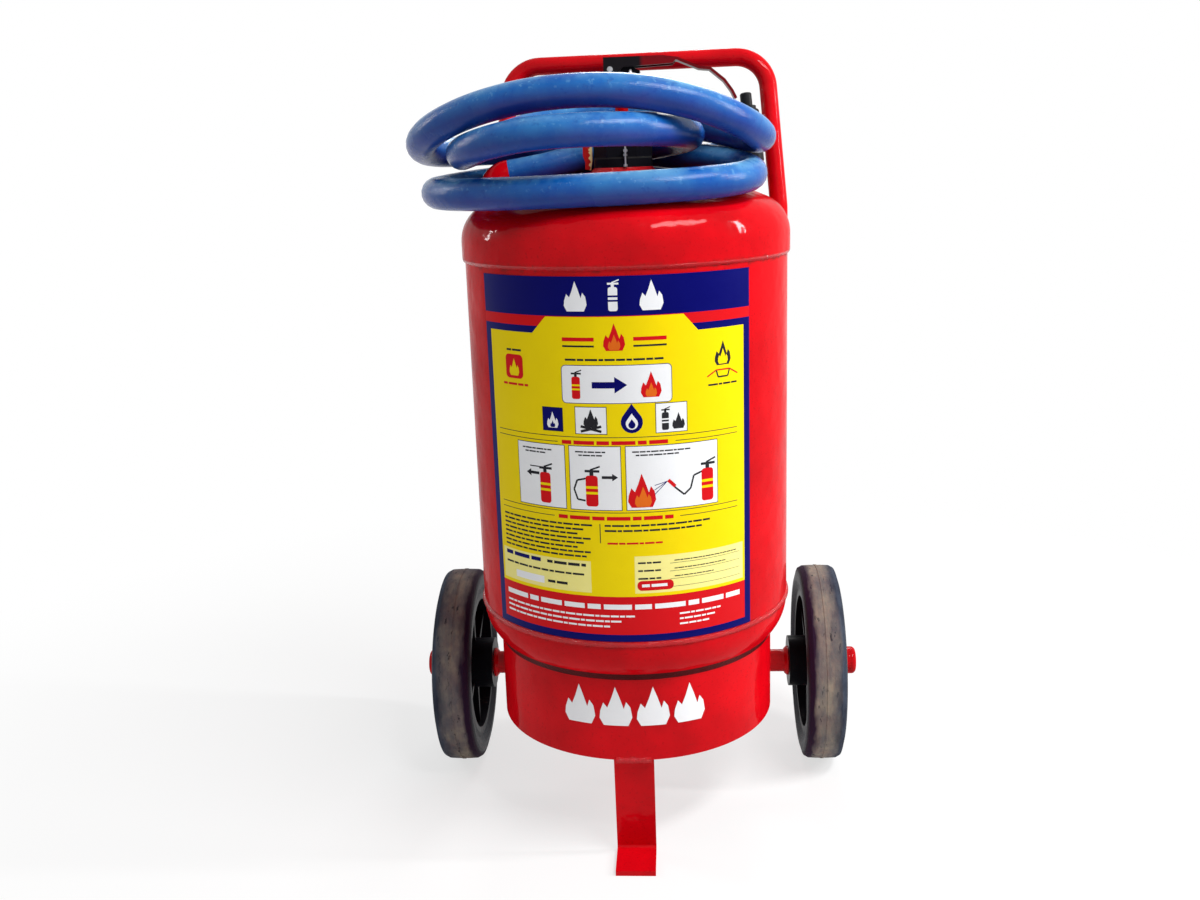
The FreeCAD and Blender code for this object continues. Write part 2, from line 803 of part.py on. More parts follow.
def pull_ring():
    y = -block_half_w - lock_eye_out
    return Part.makeTorus(lock_ring_r, lock_ring_wire,
                          V(lock_pin_x, y, lock_pin_z - lock_ring_r + lock_ring_drop), V(0, 1, 0))


def relief_valve():
    """Thin stem with a collar and a foot, on a stub at the front of the cap."""
    y = -valve_y
    z = cap_z + valve_h
    low = z + valve_head - valve_len
    flat = cap_hex_r * math.cos(math.pi / 6)
    stub = rod(valve_collar_r, V(valve_x, -flat, z), V(valve_x, y, z))
    stem = Part.makeCylinder(valve_r, valve_len, V(valve_x, y, low))
    foot = Part.makeCylinder(valve_collar_r, valve_collar_t, V(valve_x, y, low))
    collar = Part.makeCylinder(valve_collar_r, valve_collar_t, V(valve_x, y, low + valve_len / 2))
    return stub.fuse([stem, foot, collar]).removeSplitter()


def seal_wire():
    return Part.makeTorus(seal_ring_r, seal_wire_r, V(0, 0, chamber_z + seal_wire_r))


def seal_tag():
    """Thin tag that hooks over the wire and hangs beside the cap."""
    z = chamber_z
    inner = -cap_hex_r - 1.4
    outline = [(-chamber_r - 0.8, z + 0.2), (-chamber_r - 0.8, z + 4.5), (inner - 8.6, z + 4.5),
               (inner - 8.6, z - 9.0), (inner - 6.6, z - 15.0), (inner - 6.9, z - 21.0),
               (inner - 1.2, z - 22.0), (inner, z - 13.0), (inner, z + 0.2)]
    plate = prism_y(outline, seal_tag_t / 2)
    slot = rod(seal_wire_r + 0.1, V(-seal_ring_r, -5, z + seal_wire_r), V(-seal_ring_r, 5, z + seal_wire_r))
    mouth = Part.makeBox(2 * seal_wire_r + 0.2, 10, seal_wire_r + 1,
                         V(-seal_ring_r - seal_wire_r - 0.1, -5, z - 1))
    return plate.cut(slot).cut(mouth)


def gas_cartridge():
    shoulder_z = cartridge_shoulder_z
    neck = Part.makeCylinder(cartridge_neck_r, cartridge_neck_h + 5, V(0, 0, shoulder_z - 5))
    bottle = Part.makeCylinder(cartridge_r, cartridge_len, V(0, 0, shoulder_z - cartridge_len))
    ends = [e for e in bottle.Edges if e.Closed]
    bottle = bottle.makeFillet(cartridge_r * 0.6, ends)
    room = Part.makeCylinder(cartridge_r - cartridge_wall, cartridge_len - 2 * cartridge_wall,
                             V(0, 0, shoulder_z - cartridge_len + cartridge_wall))
    ends = [e for e in room.Edges if e.Closed]
    room = room.makeFillet(cartridge_r * 0.6 - cartridge_wall, ends)
    depth = cartridge_neck_h + 2 * cartridge_wall
    mouth = Part.makeCylinder(cartridge_mouth_r, depth - cartridge_seal,
                              V(0, 0, cartridge_top_z - depth))
    return bottle.fuse(neck).removeSplitter().cut(room).cut(mouth)


# Outlet

def way(vector):
    return V(*vector).normalize()


def outlet_boss():
    return ring(boss_out_r, boss_bore_r, boss_z0, boss_z1, outlet_x, outlet_y)


def knee():
    return V(outlet_x, outlet_y, elbow_knee_z)


def hose_start():
    return knee() + way(outlet_dir) * elbow_reach


def outlet_elbow():
    low = V(outlet_x, outlet_y, boss_z1)
    outer = sweep(rounded_path([low, knee(), hose_start()], [elbow_bend_r]), elbow_r)
    spigot = Part.makeCylinder(boss_bore_r, elbow_spigot, V(outlet_x, outlet_y, boss_z1 - elbow_spigot))
    tail = rod(hose_bore_r, hose_start() - way(outlet_dir) * 2, hose_start() + way(outlet_dir) * tail_len)
    mouth = hose_start() + way(outlet_dir) * (tail_len + 2)
    bore_path = rounded_path([low - V(0, 0, elbow_spigot + 2), knee(), mouth], [elbow_bend_r])
    return outer.fuse([spigot, tail]).removeSplitter().cut(sweep(bore_path, elbow_bore_r))


def siphon_path():
    low_z = bottom_tangent_z - siphon_below
    low = V(siphon_low_x, siphon_low_y, low_z)
    return rounded_path([V(outlet_x, outlet_y, boss_z1 - elbow_spigot),
                         V(outlet_x, outlet_y, top_tangent_z - siphon_turn),
                         low + V(0, 0, siphon_run), low], [siphon_bend_r, siphon_bend_r])


def siphon_tube():
    path = siphon_path()
    return sweep(path, boss_bore_r).cut(sweep(path, boss_bore_r - siphon_wall))


# Hose

def station_data():
    """Point and direction of travel at each station of the coil."""
    points = [V(x, y, z) for name, x, y, z in stations]
    ends = [hose_start() + way(outlet_dir) * 2 * hose_r] + points + [coil_end()]
    data = [(ends[0], way(outlet_dir))]
    for i, (name, x, y, z) in enumerate(stations):
        before, after = ends[i], ends[i + 2]
        run = (ends[i + 1] - before).Length + (after - ends[i + 1]).Length
        slope = (after.z - before.z) / run
        dx, dy = turn_way[name]
        data.append((points[i], V(dx, dy, slope).normalize()))
    data.append((coil_end(), way(gun_dir)))
    return data


def coil_end():
    return V(*gun_at) - way(gun_dir) * 2 * hose_r


def biarc(p, u, q, v):
    """Two tangent arcs from p along u to q along v."""
    chord = q - p
    t = u + v
    a = 2 * (1 - u.dot(v))
    b = 2 * chord.dot(t)
    c = -chord.dot(chord)
    d = (-b + math.sqrt(b * b - 4 * a * c)) / (2 * a) if abs(a) > 1e-9 else -c / b
    join = (p + q + (u - v) * d) * 0.5
    return [tangent_arc(p, u, join), tangent_arc(q, v * -1, join, True)]


def tangent_arc(p, u, q, reverse=False):
    """Arc that leaves p along u and ends at q."""
    chord = q - p
    normal = chord - u * chord.dot(u)
    normal.normalize()
    radius = chord.dot(chord) / (2 * chord.dot(normal))
    centre = p + normal * radius
    angle = u.getAngle(chord)
    m = centre + (u * math.sin(angle) - normal * math.cos(angle)) * radius
    return arc(q, m, p) if reverse else arc(p, m, q)


def hose_path():
    data = station_data()
    edges = [line(hose_start(), data[0][0])]
    for (p, u), (q, v) in zip(data, data[1:]):
        edges += biarc(p, u, q, v)
    edges.append(line(data[-1][0], V(*gun_at)))
    return Part.Wire(edges)


def discharge_hose():
    path = hose_path()
    return sweep(path, hose_r).cut(sweep(path, hose_bore_r))


def measure_hose(hose):
    """Prints the length, the arc radii, the volume ratio and the least gap between turns."""
    path = hose_path()
    radii = [e.Curve.Radius for e in path.Edges if hasattr(e.Curve, "Radius")]
    print("hose length %.1f, least arc radius %.1f" % (path.Length, min(radii)))
    section = math.pi * (hose_r ** 2 - hose_bore_r ** 2)
    print("hose volume over section x length %.4f" % (hose.Volume / (section * path.Length)))
    step = 6.0
    points = path.discretize(int(path.Length / step))
    skip = int(5 * hose_r / step)
    least = min((points[i] - points[j]).Length
                for i in range(len(points)) for j in range(i + skip, len(points)))
    print("least gap between turns %.2f" % (least - 2 * hose_r))


# Spray gun, drawn along X from the hose end and then placed

def place_gun(shape):
    ex = way(gun_dir)
    up = V(*gun_up)
    ez = (up - ex * up.dot(ex)).normalize()
    ey = ez.cross(ex)
    x, y, z = gun_at
    matrix = FreeCAD.Matrix(ex.x, ey.x, ez.x, x, ex.y, ey.y, ez.y, y, ex.z, ey.z, ez.z, z)
    moved = shape.copy()
    moved.Placement = FreeCAD.Placement(matrix)
    return moved


def gun_ferrule():
    sleeve = rod(ferrule_r, V(-ferrule_back, 0, 0), V(ferrule_wall, 0, 0))
    sleeve = sleeve.cut(rod(hose_r, V(-ferrule_back - 1, 0, 0), V(0, 0, 0)))
    return sleeve.cut(rod(hose_bore_r, V(-1, 0, 0), V(ferrule_wall + 1, 0, 0)))


def gun_body():
    tail = rod(hose_bore_r, V(-tail_len, 0, 0), V(gun_x, 0, 0))
    flange = rod(gun_r + 1.5, V(ferrule_wall, 0, 0), V(gun_x - gun_r + 1.5, 0, 0))
    barrel = Part.makeCylinder(gun_r, gun_high - gun_low, V(gun_x, 0, gun_low))
    ends = [e for e in barrel.Edges if e.Closed]
    barrel = barrel.makeFillet(2.5, ends)
    ear_x = trigger_pin_x
    ears = []
    for side in (-1, 1):
        y0 = side * (trigger_half_w + ear_play + ear_t / 2) - ear_t / 2
        ears.append(Part.makeBox(gun_x - ear_x + ear_back, ear_t, ear_h,
                                 V(ear_x - ear_back, y0, trigger_pin_z - ear_h / 2)))
    body = barrel.fuse([tail, flange] + ears).removeSplitter()
    bore = rod(elbow_bore_r, V(-tail_len - 1, 0, 0), V(gun_x, 0, 0))
    body = body.cut(bore).cut(Part.makeCylinder(nozzle_bore_r + 2, gun_high + 2, V(gun_x, 0, 0)))
    return body.cut(rod(trigger_pin_r, V(ear_x, -20, trigger_pin_z), V(ear_x, 20, trigger_pin_z)))


def gun_nozzle():
    flange = Part.makeCylinder(nozzle_flange_r, nozzle_flange_t, V(gun_x, 0, gun_high))
    tip = Part.makeCylinder(nozzle_r, nozzle_len, V(gun_x, 0, gun_high))
    ends = [e for e in tip.Edges if e.Closed and abs(e.BoundBox.ZMin - gun_high - nozzle_len) < 0.01]
    tip = tip.makeFillet(2.0, ends)
    return flange.fuse(tip).removeSplitter().cut(
        Part.makeCylinder(nozzle_bore_r, nozzle_len + 2, V(gun_x, 0, gun_high - 1)))


def gun_trigger():
    x, z = trigger_pin_x, trigger_pin_z
    top = [(x + 3.0, z + 3.0), (x - 3.5, z + 3.0), (x - 12.0, z - 2.0), (x - 17.0, z - 9.0),
           (x - 15.5, z - 10.0), (x - 10.5, z - 5.0), (x - 2.0, z - 3.0), (x + 3.0, z - 3.0)]
    lever = prism_y(top, trigger_half_w)
    return lever.cut(rod(trigger_pin_r + trigger_run, V(x, -20, z), V(x, 20, z)))


def trigger_pin():
    half = trigger_half_w + ear_play + ear_t
    return rod(trigger_pin_r, V(trigger_pin_x, -half, trigger_pin_z), V(trigger_pin_x, half, trigger_pin_z))


# All pieces

def build():
    body = body_fill()
    cartridge = gas_cartridge()
    siphon = siphon_tube()
    ring_solid = foot_ring(body)
    strip = foot_strip()
    hose = discharge_hose()
    measure_hose(hose)
    return {
        "vessel_cylinder": vessel_cylinder(),
        "top_head": top_head(),
        "bottom_head": bottom_head(),
        "top_seam": top_seam(),
        "bottom_seam": bottom_seam(),
        "powder_charge": powder_charge(),
        "label_sheet": label_sheet(),
        "foot_ring": ring_solid,
        "foot_ring_seam": foot_ring_seam(body),
        "foot_strip": strip,
        "foot_seam": foot_seam(ring_solid, strip),
        "axle": axle_bar(),
        "axle_collars": both(axle_collar()),
        "axle_washers": both(axle_washer()),
        "axle_caps": both(axle_cap()),
        "right_tyre": tyre(),
        "right_hub": hub(),
        "right_bush": bush(),
        "left_tyre": mirror_x(tyre()),
        "left_hub": mirror_x(hub()),
        "left_bush": mirror_x(bush()),
        "handle_frame": handle_frame(),
        "handle_pads": frame_pads(body),
        "neck_ring": neck_ring(),
        "neck_seam": neck_seam(),
        "neck_gasket": neck_gasket(),
        "head_cap": head_cap(),
        "piercing_chamber": piercing_chamber(),
        "guide_tube": guide_tube(),
        "pivot_block": pivot_block(),
        "plunger": plunger(),
        "return_spring": return_spring(),
        "lever_pin": lever_pin(),
        "operating_lever": operating_lever(),
        "carry_grip": carry_grip(),
        "safety_pin": safety_pin(),
        "pull_ring": pull_ring(),
        "relief_valve": relief_valve(),
        "seal_wire": seal_wire(),
        "seal_tag": seal_tag(),
        "gas_cartridge": cartridge,
        "outlet_boss": outlet_boss(),
        "outlet_elbow": outlet_elbow(),
        "siphon_tube": siphon,
        "discharge_hose": hose,
        "gun_ferrule": place_gun(gun_ferrule()),
        "gun_body": place_gun(gun_body()),
        "gun_nozzle": place_gun(gun_nozzle()),
        "gun_trigger": place_gun(gun_trigger()),
        "trigger_pin": place_gun(trigger_pin()),
    }


# The vessel axis stands forward of the footprint's middle by this much
footprint_mid_y = (axle_y + wheel_r + foot_tip_y()) / 2

os.makedirs("parts", exist_ok=True)
for node, shape in build().items():
    shape.translate(V(0, -footprint_mid_y, 0))
    shape.exportStep("parts/" + node + ".step")
    print("%-18s solids %d  volume %.1f  valid %s"
          % (node, len(shape.Solids), shape.Volume, shape.isValid()))
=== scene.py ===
"""Looks of a wheeled dry powder fire extinguisher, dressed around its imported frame.

Metres, +Z up, front towards -Y, axle along X, the same frame as the solids.
"""
from __future__ import annotations

import logging
import math
from dataclasses import dataclass, field
from enum import Enum

import bmesh
import bpy
from mathutils import Matrix, Vector


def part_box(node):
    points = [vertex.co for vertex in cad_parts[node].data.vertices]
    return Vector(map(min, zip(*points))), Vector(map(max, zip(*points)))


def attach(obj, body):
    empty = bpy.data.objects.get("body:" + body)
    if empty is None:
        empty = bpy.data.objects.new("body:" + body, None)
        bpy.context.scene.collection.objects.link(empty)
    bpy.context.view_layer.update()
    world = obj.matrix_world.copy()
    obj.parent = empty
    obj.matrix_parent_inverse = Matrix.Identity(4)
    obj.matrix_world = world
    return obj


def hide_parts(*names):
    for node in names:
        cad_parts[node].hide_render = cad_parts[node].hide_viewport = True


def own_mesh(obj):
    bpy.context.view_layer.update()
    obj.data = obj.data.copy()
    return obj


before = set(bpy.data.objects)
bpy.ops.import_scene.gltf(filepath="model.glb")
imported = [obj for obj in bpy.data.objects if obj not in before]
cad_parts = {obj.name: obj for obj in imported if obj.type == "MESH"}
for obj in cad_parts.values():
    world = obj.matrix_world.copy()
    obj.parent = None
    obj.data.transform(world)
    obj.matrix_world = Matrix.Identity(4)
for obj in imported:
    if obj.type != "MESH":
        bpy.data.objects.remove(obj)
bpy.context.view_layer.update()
LOG = logging.getLogger("extinguisher")

VESSEL_Y = -0.0176        # the axis of the vessel, in front of the footprint's middle
VESSEL_R = 0.150
MM_PER_M = 1000

Colour = tuple[float, float, float]
Place = tuple[float, float, float]
Flat = tuple[float, float]
Pattern = tuple[float, float]    # waves per metre and strength
Socket = bpy.types.NodeSocket


class Graph:
    """Short calls that add nodes to one node tree."""

    def __init__(self, tree: bpy.types.NodeTree) -> None:
        """Keep the tree that the calls add to."""
        self.tree = tree

    def node(self, kind: str, **settings: object) -> bpy.types.Node:
        """Add a node.

        Args:
            kind: the node's type name.
            settings: properties of the node.

        Returns:
            The new node.
        """
        made = self.tree.nodes.new(kind)
        for name, value in settings.items():
            setattr(made, name, value)
        return made

    def feed(self, socket: Socket, value: object) -> None:
        """Link a socket, or set its value where the value is plain.

        Args:
            socket: the input to fill.
            value: another socket, a number, a vector or a colour.
        """
        if isinstance(value, bpy.types.NodeSocket):
            self.tree.links.new(value, socket)
        elif socket.type == "RGBA":
            socket.default_value = (*value, 1.0)
        else:
            socket.default_value = value

    def fill(self, node: bpy.types.Node, values: dict[str, object]) -> None:
        """Feed several inputs of a node, by their names."""
        for name, value in values.items():
            self.feed(node.inputs[name], value)

    def maths(self, operation: str, a: object, b: object = 0.0, clamp: bool = False) -> Socket:
        """Add a Math node.

        Args:
            operation: what it works out.
            a: its first value.
            b: its second value, where it takes two.
            clamp: whether the result is held between 0 and 1.

        Returns:
            The result.
        """
        made = self.node("ShaderNodeMath", operation=operation, use_clamp=clamp)
        self.feed(made.inputs[0], a)
        self.feed(made.inputs[1], b)
        return made.outputs[0]

    def times(self, a: object, b: object) -> Socket:
        """Product of two values."""
        return self.maths("MULTIPLY", a, b)

    def plus(self, a: object, b: object) -> Socket:
        """Sum of two values."""
        return self.maths("ADD", a, b)

    def distance(self, a: Socket, b: Socket) -> Socket:
        """Length of a flat vector whose parts are given."""
        return self.maths("SQRT", self.plus(self.times(a, a), self.times(b, b)))

    def mix(self, factor: object, a: object, b: object) -> Socket:
        """Add a colour Mix node.

        Args:
            factor: share of the second colour.
            a: the first colour.
            b: the second colour.

        Returns:
            The mixed colour.
        """
        made = self.node("ShaderNodeMix", data_type="RGBA")
        self.feed(made.inputs[0], factor)
        self.feed(made.inputs[6], a)
        self.feed(made.inputs[7], b)
        return made.outputs[2]

    def noise(self, vector: Socket, scale: object, detail: float = 3.0,
              roughness: float = 0.55) -> Socket:
        """Add a Noise Texture node.

        Args:
            vector: coordinates that it follows.
            scale: waves per metre.
            detail: number of finer layers.
            roughness: strength of the finer layers.

        Returns:
            The noise, about 0.5 on average.
        """
        made = self.node("ShaderNodeTexNoise")
        self.fill(made, {"Vector": vector, "Scale": scale, "Detail": detail, "Roughness": roughness})
        return made.outputs["Fac"]

    def span(self, value: object, low: object, high: object, to_low: object = 0.0,
             to_high: object = 1.0) -> Socket:
        """Map a value from one span to another and hold it inside.

        Args:
            value: what is mapped.
            low: start of its span.
            high: end of its span.
            to_low: result at the start.
            to_high: result at the end.

        Returns:
            The result.
        """
        made = self.node("ShaderNodeMapRange")
        for socket, given in zip(made.inputs, (value, low, high, to_low, to_high)):
            self.feed(socket, given)
        return made.outputs[0]

    def object_point(self) -> Socket:
        """Object coordinates of the shaded point."""
        return self.node("ShaderNodeTexCoord").outputs["Object"]

    def parts(self, vector: Socket) -> tuple[Socket, Socket, Socket]:
        """Split a vector.

        Args:
            vector: what is split.

        Returns:
            Its X, Y and Z.
        """
        made = self.node("ShaderNodeSeparateXYZ")
        self.feed(made.inputs[0], vector)
        return made.outputs[0], made.outputs[1], made.outputs[2]

    def bump(self, height: Socket, strength: float, distance: float,
             under: Socket | None = None) -> Socket:
        """Add a Bump node.

        Args:
            height: height of the surface, without a unit.
            strength: share of the bump that shows.
            distance: what a height of 1 stands for, in metres.
            under: normal that it is laid over.

        Returns:
            The normal.
        """
        made = self.node("ShaderNodeBump")
        self.fill(made, {"Height": height, "Strength": strength, "Distance": distance})
        if under:
            self.feed(made.inputs["Normal"], under)
        return made.outputs["Normal"]


CLOUD_EDGE = (0.38, 0.66)        # noise at which each effect starts and is full
SPECK_EDGE = (0.60, 0.68)
SCUFF_EDGE = (0.63, 0.68)
SCUFF_PATCH_EDGE = (0.50, 0.62)
SCUFF_PATCH_SCALE = 0.2
SCUFF_STRETCH = (1.0, 1.0, 9.0)


class Effect(Enum):
    """Shared surface effects, each a node group that is built once."""

    CLOUDS = "soft_clouds"
    SPECKS = "fine_specks"
    SCUFFS = "thin_scuffs"

    def tree(self) -> bpy.types.NodeTree:
        """Find this effect's node group, or make it on first use.

        Returns:
            The node group.
        """
        found = bpy.data.node_groups.get(self.value)
        if found:
            return found
        tree = bpy.data.node_groups.new(self.value, "ShaderNodeTree")
        face = tree.interface
        face.new_socket("Vector", in_out="INPUT", socket_type="NodeSocketVector")
        face.new_socket("Scale", in_out="INPUT", socket_type="NodeSocketFloat")
        face.new_socket("Amount", in_out="INPUT", socket_type="NodeSocketFloat")
        face.new_socket("Mask", in_out="OUTPUT", socket_type="NodeSocketFloat")
        g = Graph(tree)
        given = g.node("NodeGroupInput")
        point, scale, amount = given.outputs[0], given.outputs[1], given.outputs[2]
        if self is Effect.CLOUDS:
            mask = g.span(g.noise(point, scale, 4.0, 0.6), *CLOUD_EDGE)
        elif self is Effect.SPECKS:
            mask = g.span(g.noise(point, scale, 2.0, 0.7), *SPECK_EDGE)
        else:
            stretch = g.node("ShaderNodeVectorMath", operation="MULTIPLY")
            g.feed(stretch.inputs[0], point)
            g.feed(stretch.inputs[1], SCUFF_STRETCH)
            scratches = g.span(g.noise(stretch.outputs[0], scale, 5.0, 0.75), *SCUFF_EDGE)
            patches = g.span(g.noise(point, g.times(scale, SCUFF_PATCH_SCALE)), *SCUFF_PATCH_EDGE)
            mask = g.times(scratches, patches)
        result = g.node("NodeGroupOutput")
        g.feed(result.inputs[0], g.maths("MULTIPLY", mask, amount, clamp=True))
        return tree

    def place(self, g: Graph, vector: Socket, pattern: Pattern) -> Socket:
        """Add the group to a material.

        Args:
            g: the material's graph.
            vector: coordinates that the effect follows.
            pattern: its waves per metre and the strength of its mask.

        Returns:
            The mask.
        """
        made = g.node("ShaderNodeGroup", node_tree=self.tree())
        g.fill(made, {"Vector": vector, "Scale": pattern[0], "Amount": pattern[1]})
        return made.outputs["Mask"]


@dataclass(frozen=True)
class Finish:
    """Common start of all finishes."""

    name: str
    colour: Colour
    roughness: float
    sheen: float = 0.06       # mirror reflection of the bare surface
    lacquer: float = 0.0      # clear coat over it
    lacquer_roughness: float = 0.07

    def start(self) -> tuple[bpy.types.Material, Graph, bpy.types.Node]:
        """Make a material with plain values in its shader.

        Returns:
            The material, its graph and the shader node.
        """
        material = bpy.data.materials.new(self.name)
        material.use_nodes = True
        g = Graph(material.node_tree)
        shader = material.node_tree.nodes["Principled BSDF"]
        g.fill(shader, {"Base Color": self.colour, "Roughness": self.roughness,
                        "Specular IOR Level": self.sheen, "Coat Weight": self.lacquer,
                        "Coat Roughness": self.lacquer_roughness})
        return material, g, shader

    def material(self) -> bpy.types.Material:
        """The finished material, made on first use."""
        return bpy.data.materials.get(self.name) or self.build()

    def build(self) -> bpy.types.Material:
        """Make the material."""
        return self.start()[0]


@dataclass(frozen=True)
class Enamel(Finish):
    """Brushed or sprayed enamel on beaten steel, with dents, dull patches and small knocks."""

    shade: Colour = (0.30, 0.001, 0.003)
    knock: Colour = (0.10, 0.012, 0.010)
    dents: float = 0.55
    peel: float = 0.08
    ripple: float = 0.0
    darkened_z: tuple[float, ...] = ()    # heights of the joints along which the enamel is darkened
    darkened_half: float = 0.005
    dull: Pattern = (9.0, 0.55)
    flecks: Pattern = (420.0, 0.45)
    scratches: Pattern = (26.0, 0.35)

    def build(self) -> bpy.types.Material:
        """Make the enamel.

        Returns:
            The material.
        """
        material, g, shader = self.start()
        point = g.object_point()
        clouds = Effect.CLOUDS.place(g, point, self.dull)
        specks = Effect.SPECKS.place(g, point, self.flecks)
        colour = g.mix(clouds, self.colour, self.shade)
        colour = g.mix(specks, colour, self.shade)
        scuffs = Effect.SCUFFS.place(g, point, self.scratches)
        colour = g.mix(scuffs, colour, self.knock)
        # a broken dark band along each of these heights
        for height in self.darkened_z:
            off = g.maths("ABSOLUTE", g.maths("SUBTRACT", g.parts(point)[2], height))
            near = g.span(off, 0.0, self.darkened_half, 1.0, 0.0)
            broken = g.span(g.noise(point, 90.0, 5.0, 0.7), 0.46, 0.62)
            colour = g.mix(g.times(near, broken), colour, self.knock)
        rough = g.plus(g.times(clouds, 0.10), self.roughness)
        rough = g.plus(rough, g.times(scuffs, 0.35))
        normal = g.bump(g.noise(point, 17.0, 3.0, 0.5), self.dents, 0.006)
        normal = g.bump(g.noise(point, 190.0, 2.0), self.peel, 0.0008, normal)
        if self.ripple:
            normal = g.bump(g.noise(point, 260.0, 4.0, 0.8), self.ripple, 0.002, normal)
        g.fill(shader, {"Base Color": colour, "Roughness": rough, "Normal": normal,
                        "Coat Normal": normal})
        return material


@dataclass(frozen=True)
class LeverPaint(Enamel):
    """Dark red enamel whose pivot end is black."""

    end: Colour = (0.010, 0.008, 0.010)
    end_x: float = 0.017
    fade: float = 0.004

    def build(self) -> bpy.types.Material:
        """Make the two-coloured enamel.

        Returns:
            The material.
        """
        material = super().build()
        g = Graph(material.node_tree)
        base = material.node_tree.nodes["Principled BSDF"].inputs["Base Color"]
        colour = base.links[0].from_socket
        x = g.parts(g.object_point())[0]
        g.feed(base, g.mix(g.span(x, self.end_x + self.fade, self.end_x), colour, self.end))
        return material


@dataclass(frozen=True)
class TornTag(Finish):
    """Red plastic tag with a pale yellow torn edge towards the cap."""

    torn: Colour = (0.75, 0.62, 0.28)
    edge_x: float = -0.0305
    edge_wide: float = 0.0006
    raggedness: float = 0.008

    def build(self) -> bpy.types.Material:
        """Make the tag's plastic.

        Returns:
            The material.
        """
        material, g, shader = self.start()
        point = g.object_point()
        x = g.parts(point)[0]
        ragged = g.times(g.maths("SUBTRACT", g.noise(point, 260.0, 3.0), 0.5), self.raggedness)
        edge = g.span(g.plus(x, ragged), self.edge_x - self.edge_wide, self.edge_x)
        g.fill(shader, {"Base Color": g.mix(edge, self.colour, self.torn),
                        "Normal": g.bump(g.noise(point, 300.0), 0.4, 0.001)})
        return material


@dataclass(frozen=True)
class Steel(Finish):
    """Bare metal with fine drawing lines and stains."""

    stain: Colour = (0.12, 0.11, 0.10)
    stains: Pattern = (120.0, 0.5)
    grain: float = 900.0

    def build(self) -> bpy.types.Material:
        """Make the metal.

        Returns:
            The material.
        """
        material, g, shader = self.start()
        point = g.object_point()
        clouds = Effect.CLOUDS.place(g, point, self.stains)
        lines = g.noise(point, self.grain, 2.0)
        g.fill(shader, {"Metallic": 1.0, "Base Color": g.mix(clouds, self.colour, self.stain),
                        "Roughness": g.span(lines, 0.3, 0.7, self.roughness, self.roughness + 0.2),
                        "Normal": g.bump(lines, 0.15, 0.0002)})
        return material


@dataclass(frozen=True)
class Moulded(Finish):
    """Moulded plastic or rubber with a fine mould grain and pale rubbing."""

    rubbed: Colour = (0.12, 0.12, 0.125)
    rubbing: Pattern = (60.0, 0.35)
    scratches: Pattern = (120.0, 0.6)
    grain: float = 1400.0
    depth: float = 0.25

    def build(self) -> bpy.types.Material:
        """Make the plastic.

        Returns:
            The material.
        """
        material, g, shader = self.start()
        point = g.object_point()
        clouds = Effect.CLOUDS.place(g, point, self.rubbing)
        scuffs = Effect.SCUFFS.place(g, point, self.scratches)
        colour = g.mix(clouds, self.colour, self.rubbed)
        g.fill(shader, {"Base Color": g.mix(scuffs, colour, self.rubbed),
                        "Roughness": g.plus(g.times(clouds, 0.25), self.roughness),
                        "Normal": g.bump(g.noise(point, self.grain, 2.0), self.depth, 0.0003)})
        return material


@dataclass(frozen=True)
class TyreRubber(Finish):
    """Black rubber whose tread is worn and streaked grey-brown with dry dirt."""

    dirt: Colour = (0.30, 0.255, 0.195)
    clay: Colour = (0.175, 0.125, 0.115)
    slate: Colour = (0.050, 0.062, 0.088)
    crack: Colour = (0.010, 0.010, 0.020)
    violet: Colour = (0.020, 0.007, 0.022)
    streaking: Pattern = (105.0, 1.0)
    blotting: Pattern = (62.0, 1.0)
    wearing: Pattern = (26.0, 1.0)
    side_dust: Pattern = (18.0, 0.30)
    axle: Flat = (0.0724, 0.1037)    # Y and Z of the wheels' axis
    tread_r: float = 0.0955
    inner_x: float = 0.1724
    outer_x: float = 0.2126

    def build(self) -> bpy.types.Material:
        """Make the rubber.

        Returns:
            The material.
        """
        material, g, shader = self.start()
        point = g.object_point()
        x, y, z = g.parts(point)
        dy = g.maths("SUBTRACT", y, self.axle[0])
        dz = g.maths("SUBTRACT", z, self.axle[1])
        radius = g.distance(dy, dz)
        ring = g.node("ShaderNodeCombineXYZ")
        turn = g.times(g.maths("ARCTAN2", dy, dz), self.tread_r / 3)
        g.fill(ring, {"X": x, "Y": turn, "Z": g.times(radius, 0.5)})
        around = ring.outputs[0]
        streaks = Effect.CLOUDS.place(g, around, self.streaking)
        blots = Effect.CLOUDS.place(g, point, self.blotting)
        worn = Effect.CLOUDS.place(g, point, self.wearing)
        ragged = g.times(g.maths("SUBTRACT", g.noise(around, 70.0), 0.5), 0.35)
        across = g.plus(g.span(g.maths("ABSOLUTE", x), self.inner_x, self.outer_x), ragged)
        dirty = g.mix(worn, self.dirt, self.clay)
        dirty = g.mix(g.times(streaks, 0.55), dirty, self.slate)
        dirty = g.mix(g.times(blots, 0.35), dirty, self.slate)
        cracks = g.span(g.noise(around, 190.0, 4.0, 0.7), 0.60, 0.66)
        dirty = g.mix(g.times(cracks, 0.8), dirty, self.crack)
        tread = g.mix(g.span(across, 0.16, 0.30), self.violet, dirty)
        rim = g.mix(g.times(streaks, 0.7), self.slate, self.crack)
        tread = g.mix(g.span(across, 0.62, 0.86), tread, rim)
        side = g.mix(Effect.CLOUDS.place(g, point, self.side_dust), self.colour, self.slate)
        on_tread = g.span(radius, self.tread_r, self.tread_r + 0.003)
        height = g.plus(g.noise(point, 600.0, 4.0, 0.7), g.times(streaks, 0.8))
        g.fill(shader, {"Base Color": g.mix(on_tread, side, tread),
                        "Roughness": g.span(on_tread, 0.0, 1.0, self.roughness, self.roughness + 0.3),
                        "Normal": g.bump(height, 0.35, 0.0012)})
        return material


